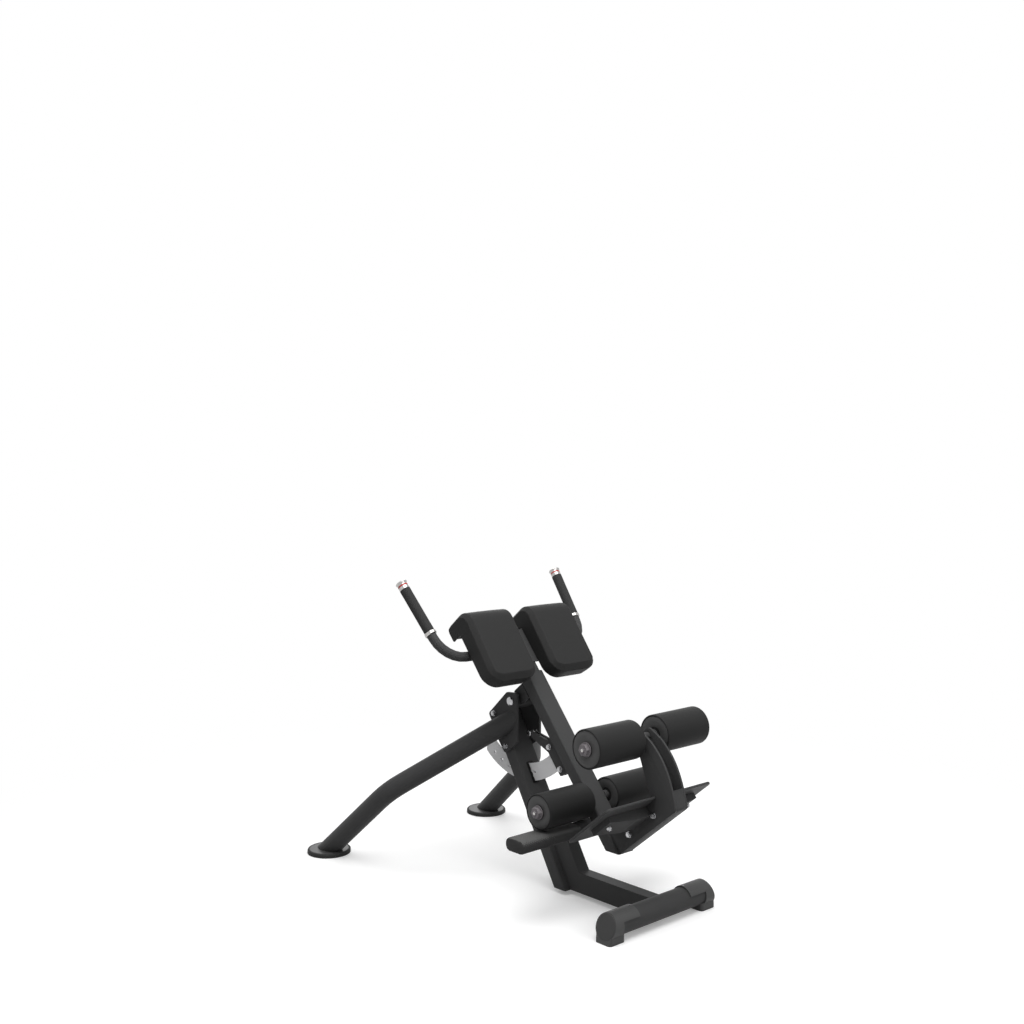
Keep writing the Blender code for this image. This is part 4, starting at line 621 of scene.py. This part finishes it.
def cap_profile():
    """A cap's skin from the middle of its socket, over the outside, to the middle of its end."""
    waist = CAP_RADIUS * CAP_WAIST
    end = CAP_LENGTH
    skin = [(CAP_SOCKET, CAP_MIDDLE), (CAP_SOCKET, GRIP_BORE), (0.0, GRIP_BORE), (0.0, CAP_RADIUS * 0.89)]
    skin += [(0.0006, CAP_RADIUS * 0.9), (0.006, CAP_RADIUS * 0.885)]
    skin += [(RING_START - 0.0006, CAP_RADIUS * 0.87)]
    skin += [(RING_START, waist - 0.0008), (RING_END, waist - 0.0008), (RING_END + 0.0006, waist)]
    skin += [(end - 0.010, waist), (end - 0.0065, CAP_RADIUS * 0.93), (end - 0.004, CAP_RADIUS)]
    skin += [(end - 0.0025, CAP_RADIUS), (end - 0.0008, CAP_RADIUS * 0.93)]
    return skin + [(end, CAP_RADIUS * 0.8), (end, CAP_RADIUS * 0.4), (end, CAP_MIDDLE)]


def ring_profile():
    """The red ring that fills the cap's groove."""
    low, high = RING_START + 0.0002, RING_END - 0.0002
    waist = CAP_RADIUS * CAP_WAIST
    floor, top = waist - 0.0007, waist + 0.0003
    first = [(low, floor), (low, top - 0.0002), (low + 0.0004, top)]
    return first + [(high - 0.0004, top), (high, top - 0.0002), (high, floor)]


for side, sign in SIDES:
    elbow, way = grip_line(sign)
    mesh = turned(f"grip_{side}_sleeve", grip_profile(), elbow + way * GRIP_START, way, 64)
    piece = new_piece(f"grip_{side}_sleeve", mesh, "pad_carriage", finishes["grip_foam"], "grip_" + side)
    node = "grip_cap_" + side
    start = elbow + way * CAP_START
    mesh = turned(node + "_polished", cap_profile(), start, way, 64, capped=True)
    new_piece(node + "_polished", mesh, "pad_carriage", finishes["polished_trim"], node)
    mesh = turned(node + "_ring", ring_profile(), start, way, 64)
    ring = new_piece(node + "_ring", mesh, "pad_carriage", finishes["red_ring"], None)
print("two grips with their caps")

# %% [markdown]
# The sleeves on the foot peg are moulded rubber of a flat, rounded section. Their outer part has a raised
# tread, and a plain band follows further in. The tread is real geometry: the skin is a fine grid whose
# points rise along two crossing sets of ridges.

# %% Foot peg sleeves
SLEEVE_WIDTH = 0.0860
SLEEVE_DEPTH = 0.0430
SLEEVE_CORNER = 0.0195
SLEEVE_ROUNDING = 0.004
TREAD_START = 0.006
TREAD_END = 0.140
TREAD_HEIGHT = 0.0013
TREAD_PITCH = 0.0095
SLEEVE_STATIONS = 132


def sleeve_outline(width, depth, corner, count=128):
    """Evenly spaced points round a rounded rectangle, with the distance along it."""
    x, z = width / 2 - corner, depth / 2 - corner
    centres = ((x, z, 0), (-x, z, 90), (-x, -z, 180), (x, -z, 270))
    corners = []
    for a, b, turn in centres:
        for step in range(13):
            angle = math.radians(turn + 90 * step / 12)
            corners.append(Vector((a + corner * math.cos(angle), b + corner * math.sin(angle))))
    lengths = [0.0]
    for here, after in zip(corners, corners[1:] + corners[:1]):
        lengths.append(lengths[-1] + (after - here).length)
    total = lengths[-1]
    points = []
    index = 0
    for step in range(count):
        wanted = total * step / count
        while lengths[index + 1] < wanted:
            index += 1
        here, after = corners[index], corners[(index + 1) % len(corners)]
        share = (wanted - lengths[index]) / max(lengths[index + 1] - lengths[index], 1e-9)
        points.append((here.lerp(after, share), wanted))
    return points


def tread(distance, girth):
    """Height of the crossing ridges at a distance from the sleeve's end and along its girth."""
    first = math.cos(2 * math.pi * (distance + girth) / TREAD_PITCH)
    second = math.cos(2 * math.pi * (distance - girth) / TREAD_PITCH)
    return TREAD_HEIGHT * max(first, second, 0.0) ** 2


# Painted light: sleeve surfaces that face up get a paler colour, which stands in for the light falling on
# their tops.
TOP_LIGHT_FROM = 0.30
TOP_LIGHT_FULL = 0.80
PAINTED_TOP_LIGHT_COLOUR = (0.095, 0.095, 0.094)


def tread_with_painted_top_light(base, colour):
    """A copy of a finish that is paler where the surface faces up: painted light on the top, standing in for
    light from above.
    """
    material = finishes[base].copy()
    material.name = "tread_with_painted_top_light"
    tree = material.node_tree
    facing = tree.nodes.new("ShaderNodeTexCoord")
    parts = tree.nodes.new("ShaderNodeSeparateXYZ")
    mask = tree.nodes.new("ShaderNodeMapRange")
    mask.interpolation_type = "SMOOTHSTEP"
    mask.inputs["From Min"].default_value = TOP_LIGHT_FROM
    mask.inputs["From Max"].default_value = TOP_LIGHT_FULL
    tree.links.new(facing.outputs["Normal"], parts.inputs[0])
    tree.links.new(parts.outputs["Z"], mask.inputs["Value"])
    recolour(tree, mask.outputs["Result"], colour)
    return material


# The peg sleeves' finish, with painted light on the surfaces that face up.
SLEEVE_FINISH = tread_with_painted_top_light("sleeve_rubber", PAINTED_TOP_LIGHT_COLOUR)


def peg_sleeve(side, sign):
    """One sleeve, closed at both ends, with a tread on its outer part."""
    node = "peg_sleeve_" + side
    low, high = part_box(node)
    centre = (low + high) / 2
    outer, inner = (low.y, high.y) if sign < 0 else (high.y, low.y)
    length = abs(outer - inner)
    outline = sleeve_outline(SLEEVE_WIDTH, SLEEVE_DEPTH, SLEEVE_CORNER)
    rings = []
    for station in range(SLEEVE_STATIONS + 1):
        distance = length * station / SLEEVE_STATIONS
        across = outer + (inner - outer) * distance / length
        inset = 0.0
        for reach in (distance, length - distance):
            if reach < SLEEVE_ROUNDING:
                left = max(SLEEVE_ROUNDING ** 2 - (SLEEVE_ROUNDING - reach) ** 2, 0.0)
                inset = max(inset, SLEEVE_ROUNDING - math.sqrt(left))
        ring = []
        for point, girth in outline:
            rise = tread(distance, girth) if TREAD_START < distance < TREAD_END else 0.0
            size = 1 + (rise - inset) / max(point.length, 1e-6)
            ring.append(Vector((centre.x + point.x * size, across, centre.z + point.y * size)))
        rings.append(ring)
    mesh = loft(node + "_rubber", rings, closed_ends=True)
    new_piece(node + "_rubber", mesh, "beam", SLEEVE_FINISH, node)


for side, sign in SIDES:
    peg_sleeve(side, sign)
print("two peg sleeves")

# %% [markdown]
# The arm that carries the upper rollers is a channel of thick plate: two cheeks with a long curved edge,
# and a narrow web between them that follows the foot of the curve. Each plate is a flat curve object
# with its holes as further splines. The curve's own bevel rounds the cut edges, which then catch the
# light as thin lines. The result is turned into a mesh and laid along the beam.

# %% Roller arm
ARM_HALF_WIDTH = 0.030
ARM_WALL = 0.008
ARM_BACK = 0.122
ARM_FOOT = 0.6636
ARM_FRONT = 0.431
ARM_WEB = 0.006
ARM_WEB_END = (0.605, 0.4575)
ARM_WEB_INSIDE = ((0.6050, 0.4515), (0.6450, 0.4330))
ARM_WEB_TURN = 0.4250
EDGE_ROUND = 0.0011
AXLE_PLACE = (0.3986, 0.4315)
AXLE_HOLE = 0.0128
BOLT_PLACES = ((0.6306, 0.2017), (0.6306, 0.3377))
BOLT_HOLE = 0.0053
ARM_BEND = ((0.5816, 0.4647), (0.5116, 0.4792), (0.4416, 0.4753), (0.3966, 0.4600))
ARM_UNDERSIDE = ((0.4544, 0.4021), (0.5286, 0.3778), (0.5836, 0.3592))
ARM_INNER_EDGE = (0.5919, 0.3560)
NOSE_REACH = 0.022
NOSE_TOP = 0.4540
TOE_CUT = 0.008
NOSE_TOP_CUT = 0.018
NOSE_UNDER_CUT = 0.015
UNDERSIDE_CUT = 0.020
WELD_DISTANCE = 0.00002


def curved(points, steps=8):
    """A smooth line through points, each span bent by the points on its two sides."""
    ends = [points[0], *points, points[-1]]
    line = []
    for before, here, after, beyond in zip(ends, ends[1:], ends[2:], ends[3:]):
        for step in range(steps):
            t = step / steps
            weights = (-0.5 * t + t * t - 0.5 * t ** 3, 1 - 2.5 * t * t + 1.5 * t ** 3,
                       0.5 * t + 2 * t * t - 1.5 * t ** 3, -0.5 * t * t + 0.5 * t ** 3)
            line.append(tuple(sum(w * p[k] for w, p in zip(weights, (before, here, after, beyond)))
                              for k in (0, 1)))
    return line + [points[-1]]


def corner(before, place, after, radius, steps=5):
    """A corner cut back by a distance on both sides and joined with a curve."""
    place, before, after = Vector(place), Vector(before), Vector(after)
    first = place + (before - place).normalized() * radius
    last = place + (after - place).normalized() * radius
    line = []
    for step in range(steps + 1):
        share = step / steps
        line.append(tuple(first.lerp(place, share).lerp(place.lerp(last, share), share)))
    return line


def flat_plate(name, outline, holes, low, high):
    """A plate on the beam's slope between two distances across, with rounded edges."""
    curve = bpy.data.curves.new(name, "CURVE")
    curve.dimensions = "2D"
    curve.fill_mode = "BOTH"
    for points in [outline, *holes]:
        spline = curve.splines.new("POLY")
        spline.points.add(len(points) - 1)
        for point, (along, out) in zip(spline.points, points):
            point.co = (along, out, 0, 1)
        spline.use_cyclic_u = True
    curve.offset = -EDGE_ROUND
    curve.bevel_depth = EDGE_ROUND
    curve.bevel_resolution = 2
    curve.extrude = (high - low) / 2 - EDGE_ROUND
    holder = bpy.data.objects.new(name, curve)
    bpy.context.scene.collection.objects.link(holder)
    bpy.context.view_layer.update()
    mesh = bpy.data.meshes.new_from_object(holder.evaluated_get(bpy.context.evaluated_depsgraph_get()))
    bpy.data.objects.remove(holder)
    work = bmesh.new()
    work.from_mesh(mesh)
    bmesh.ops.remove_doubles(work, verts=work.verts, dist=WELD_DISTANCE)
    for vert in work.verts:
        vert.co = on_slope(vert.co.x, vert.co.z + (low + high) / 2, vert.co.y)
    mesh.name = name
    return smoothed(work, mesh)


def ring_of(centre, radius, steps=40):
    """Points of a round hole."""
    turns = [2 * math.pi * step / steps for step in range(steps)]
    return [(centre[0] + radius * math.cos(turn), centre[1] + radius * math.sin(turn)) for turn in turns]


toe = corner((ARM_FOOT, ARM_BACK), (ARM_FOOT, ARM_FRONT), ARM_BEND[0], TOE_CUT)
bend = toe[:-1] + curved((toe[-1], *ARM_BEND))
nose_end = AXLE_PLACE[0] - NOSE_REACH
top, under = (nose_end, NOSE_TOP), (nose_end, AXLE_PLACE[1] - NOSE_REACH)
outline = [(ARM_FOOT, ARM_BACK)] + bend + corner(bend[-1], top, under, NOSE_TOP_CUT)
outline += corner(top, under, ARM_UNDERSIDE[0], NOSE_UNDER_CUT)
outline += [ARM_UNDERSIDE[0]] + corner(*ARM_UNDERSIDE, UNDERSIDE_CUT)
outline += [ARM_UNDERSIDE[2], ARM_INNER_EDGE, (ARM_INNER_EDGE[0], ARM_BACK)]
holes = [ring_of(AXLE_PLACE, AXLE_HOLE)] + [ring_of(bolt, BOLT_HOLE) for bolt in BOLT_PLACES]
web = [(ARM_FOOT, ARM_BACK)] + [point for point in bend if point[0] > ARM_WEB_END[0]] + [ARM_WEB_END]
web += [*ARM_WEB_INSIDE, (ARM_FOOT - ARM_WEB, ARM_WEB_TURN), (ARM_FOOT - ARM_WEB, ARM_BACK)]
inside = ARM_HALF_WIDTH - ARM_WALL
pieces = {"left": (-ARM_HALF_WIDTH, -inside), "right": (inside, ARM_HALF_WIDTH)}
for side, (low, high) in pieces.items():
    name = "arm_cheek_" + side
    mesh = flat_plate(name, outline, holes, low, high)
    node = "arm_bracket" if side == "left" else None
    piece = new_piece(name, mesh, "beam", finishes["charcoal_powder_coat"], node)
mesh = flat_plate("arm_web", web, [], -inside, inside)
new_piece("arm_web", mesh, "beam", finishes["charcoal_powder_coat"], None)
print("roller arm in three plates")

# %% [markdown]
# A hip pad is thick foam under matt synthetic leather. Its front is a flat panel with a sloping panel
# along each side and along the foot, and the panels meet in soft creases. The head rolls over into a
# short flap behind. The pad is lofted across its width, and the creases are rounded afterwards.

# %% Hip pads
PAD_INNER = 0.0382
PAD_OUTER = 0.2533
PAD_BACK = 0.1217
PAD_THICKNESS = 0.0795
PAD_TOE_FALL = 0.010
PAD_HEAD = -0.2915
PAD_TOE = -0.0045
PAD_TOE_LEAN = 0.0155
PAD_CORNER = 0.055
PAD_CROWN_RADIUS = 0.052
SIDE_SLOPE_WIDTH = 0.0165
SIDE_SLOPE_DEPTH = 0.0155
FLAP_REACH = 0.0515
FLAP_DEPTH = 0.056
FLAP_ROOT = -0.2226
PANEL_CROWN = 0.003
CREASE_ROUNDING = 0.0022
CREASE_FROM = math.radians(24)
HEAD_SHARE = 0.8
FLAP_SHARE = 0.3
PANEL_SHARES = (0.1, 0.25, 0.4, 0.55, 0.7, 0.85)
PAD_EDGES = (0.0, 0.003, 0.008, SIDE_SLOPE_WIDTH, 0.022, 0.028, 0.036, 0.044, 0.053, 0.064, 0.080)


def pad_outline(edge, width):
    """The pad's side view at a distance from its nearer side, as (along, out) points."""
    slope = SIDE_SLOPE_DEPTH * max(1 - edge / SIDE_SLOPE_WIDTH, 0.0)
    crown = PANEL_CROWN * (1 - (1 - min(2 * edge / width, 1.0)) ** 2) - PANEL_CROWN
    front = PAD_BACK + PAD_THICKNESS - slope + crown
    gap = max(PAD_CORNER - edge, 0.0)
    toe = PAD_TOE - (PAD_CORNER - math.sqrt(max(PAD_CORNER ** 2 - gap ** 2, 0.0)))
    head = PAD_HEAD + slope * HEAD_SHARE
    radius = PAD_CROWN_RADIUS - slope * HEAD_SHARE
    flap = PAD_BACK - FLAP_REACH + slope * FLAP_SHARE
    low = front - PAD_TOE_FALL
    panel = toe - PAD_TOE_LEAN
    points = [(toe, PAD_BACK), (toe + 0.003, PAD_BACK + 0.020), (toe + 0.005, PAD_BACK + 0.036)]
    points += [(toe + 0.006, min(PAD_BACK + 0.0525, low - 0.002)), (panel, low)]
    run = head + radius - panel
    points += [(panel + run * share, low + PAD_TOE_FALL * share) for share in PANEL_SHARES]
    for step in range(15):
        angle = math.pi / 2 * step / 14
        points.append((head + radius - radius * math.sin(angle), front - radius + radius * math.cos(angle)))
    top = front - radius
    points += [(head, top + (flap + 0.014 - top) * share) for share in (0.33, 0.66, 1.0)]
    points += [(head + 0.0012, flap + 0.0075), (head + 0.0045, flap + 0.003), (head + 0.014, flap)]
    points += [(head + FLAP_DEPTH - 0.006, flap + 0.001), (head + FLAP_DEPTH, flap + 0.008)]
    root = min(head + 0.066, FLAP_ROOT)
    points += [(root - 0.006, PAD_BACK - 0.006), (root, PAD_BACK)]
    return points


def hip_pad(side, sign):
    """One pad, lofted across its width, with its creases rounded."""
    node = "hip_pad_" + side
    width = PAD_OUTER - PAD_INNER
    stations = [(edge, edge) for edge in (*PAD_EDGES, width / 2)]
    stations += [(width - edge, edge) for edge in reversed(PAD_EDGES)]
    rings = []
    for across, edge in stations:
        ring = pad_outline(edge, width)
        rings.append([on_slope(along, sign * (PAD_INNER + across), out) for along, out in ring])
    mesh = loft(node + "_cushion", rings, closed_ends=True)
    piece = new_piece(node + "_cushion", mesh, "pad_carriage", finishes["pad_vinyl"], node)
    step = piece.modifiers.new("creases", "BEVEL")
    step.width = CREASE_ROUNDING
    step.segments = 3
    step.limit_method = "ANGLE"
    step.angle_limit = CREASE_FROM
    step.harden_normals = True


for side, sign in SIDES:
    hip_pad(side, sign)
print("two hip pads")

# %% [markdown]
# Small trim comes last: the wavy lips of the slot's moulding, close to the sector plate as it passes, the
# bright ends of the axles, the end faces and screws of the cross tube's caps, and the screws that hold
# the pads from behind.

# %% Small trim
LIP_THICKNESS = 0.0014
LIP_OUT = -0.0817
LIP_START = 0.2175
LIP_END = 0.2795
LIP_ROOT = 0.0064
LIP_EDGE = 0.0052
LIP_WAVE = 0.0007
LIP_WAVE_COUNT = 3
LIP_POINTS = 40


def slot_lip(side, sign):
    """A thin strip with a wavy free edge along one side of the slot."""
    rings = []
    for step in range(LIP_POINTS + 1):
        along = LIP_START + (LIP_END - LIP_START) * step / LIP_POINTS
        edge = LIP_EDGE + LIP_WAVE * math.sin(2 * math.pi * LIP_WAVE_COUNT * step / LIP_POINTS)
        ring = []
        for across, lift in ((LIP_ROOT, 0), (edge, 0), (edge, LIP_THICKNESS), (LIP_ROOT, LIP_THICKNESS)):
            ring.append(on_slope(along, sign * across, LIP_OUT - LIP_THICKNESS + lift, POST_SLOPE))
        rings.append(ring)
    mesh = loft("slot_lip_" + side, rings, closed_ends=True)
    piece = new_piece("slot_lip_" + side, mesh, "floor_frame", finishes["black_moulding"], None)


def domed_head(name, place, way, radius, height, body, node_slot):
    """A small button head with a drive recess."""
    profile = [(-0.0005, radius * 0.2), (-0.0005, radius), (height * 0.35, radius)]
    profile += [(height * 0.8, radius * 0.72), (height, radius * 0.45)]
    profile += [(height * 0.35, radius * 0.38), (height * 0.35, radius * 0.2)]
    mesh = turned(name, profile, place, way, 24)
    piece = new_piece(name, mesh, body, finishes["bright_zinc"], None)


AXLE_END_RADIUS = 0.0052


def axle_end(node, side, sign):
    """The bright turned end of an axle in the middle of its nut."""
    low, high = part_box(node)
    centre = (low + high) / 2
    profile = [(-0.001, 0.0006), (-0.001, AXLE_END_RADIUS), (0.0003, AXLE_END_RADIUS)]
    profile += [(0.0008, AXLE_END_RADIUS * 0.8), (0.0010, 0.0006)]
    name = node + "_end_" + side
    place = (centre.x, high.y if sign > 0 else low.y, centre.z)
    mesh = turned(name, profile, place, (0, sign, 0), 32, capped=True)
    piece = new_piece(name, mesh, "beam", finishes["polished_trim"], None)


CAP_DISC_RADIUS = 0.0405
CAP_DISC_PROUD = 0.0012
CAP_FOOT_ACROSS = 0.2575
CAP_TOP_ACROSS = 0.227
CAP_FACE_HEIGHT = 0.0935
CAP_LEAN = math.atan((CAP_FOOT_ACROSS - CAP_TOP_ACROSS) / CAP_FACE_HEIGHT)


def cap_face(side, sign):
    """The round end face of a moulded cap, standing a little proud of it."""
    low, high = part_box("front_cross_tube")
    centre = (low + high) / 2
    lean_in = (CAP_FOOT_ACROSS - CAP_TOP_ACROSS) * centre.z / CAP_FACE_HEIGHT
    across = sign * (CAP_FOOT_ACROSS - lean_in)
    way = Vector((0, sign * math.cos(CAP_LEAN), math.sin(CAP_LEAN)))
    edge = arc((0.0, CAP_DISC_RADIUS - CAP_DISC_PROUD), CAP_DISC_PROUD, 90, 0, 5)
    profile = [(-0.0004, 0.001), (-0.0004, CAP_DISC_RADIUS), *edge, (CAP_DISC_PROUD, 0.001)]
    mesh = turned("cap_face_" + side, profile, (centre.x, across, centre.z), way, 72, capped=True)
    piece = new_piece("cap_face_" + side, mesh, "floor_frame", finishes["cap_end"], None)


SCREW_SETBACK = 0.0055
CAP_SCREW_SIZE = (0.0033, 0.0012)
PAD_SCREW_SIZE = (0.006, 0.0035)
PAD_SCREW_ROWS = (("head", -0.200), ("toe", -0.105))
PAD_SCREW_COLUMNS = (("inner", 0.100), ("outer", 0.190))
PAD_SCREW_OUT = 0.1170
SCREW_SLOT = SLOT_OF["cheek_bolt_upper"]
BEHIND = on_slope(0, 0, -1) - PIVOT
TUBE_LOW, TUBE_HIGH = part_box("front_cross_tube")

for side, sign in SIDES:
    slot_lip(side, sign)
    cap_face(side, sign)
    axle_end("upper_axle", side, sign)
    axle_end("lower_axle", side, sign)
    low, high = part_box("front_cap_" + side)
    inner_end = high.y if sign < 0 else low.y
    place = ((TUBE_LOW.x + TUBE_HIGH.x) / 2, inner_end + sign * SCREW_SETBACK, high.z)
    domed_head("cap_screw_" + side, place, (0, 0, 1), *CAP_SCREW_SIZE, "floor_frame", SCREW_SLOT)
    for row, along in PAD_SCREW_ROWS:
        for column, across in PAD_SCREW_COLUMNS:
            name = f"pad_screw_{side}_{row}_{column}"
            place = on_slope(along, sign * across, PAD_SCREW_OUT)
            domed_head(name, place, BEHIND, *PAD_SCREW_SIZE, "pad_carriage", SCREW_SLOT)
print("trim in place")
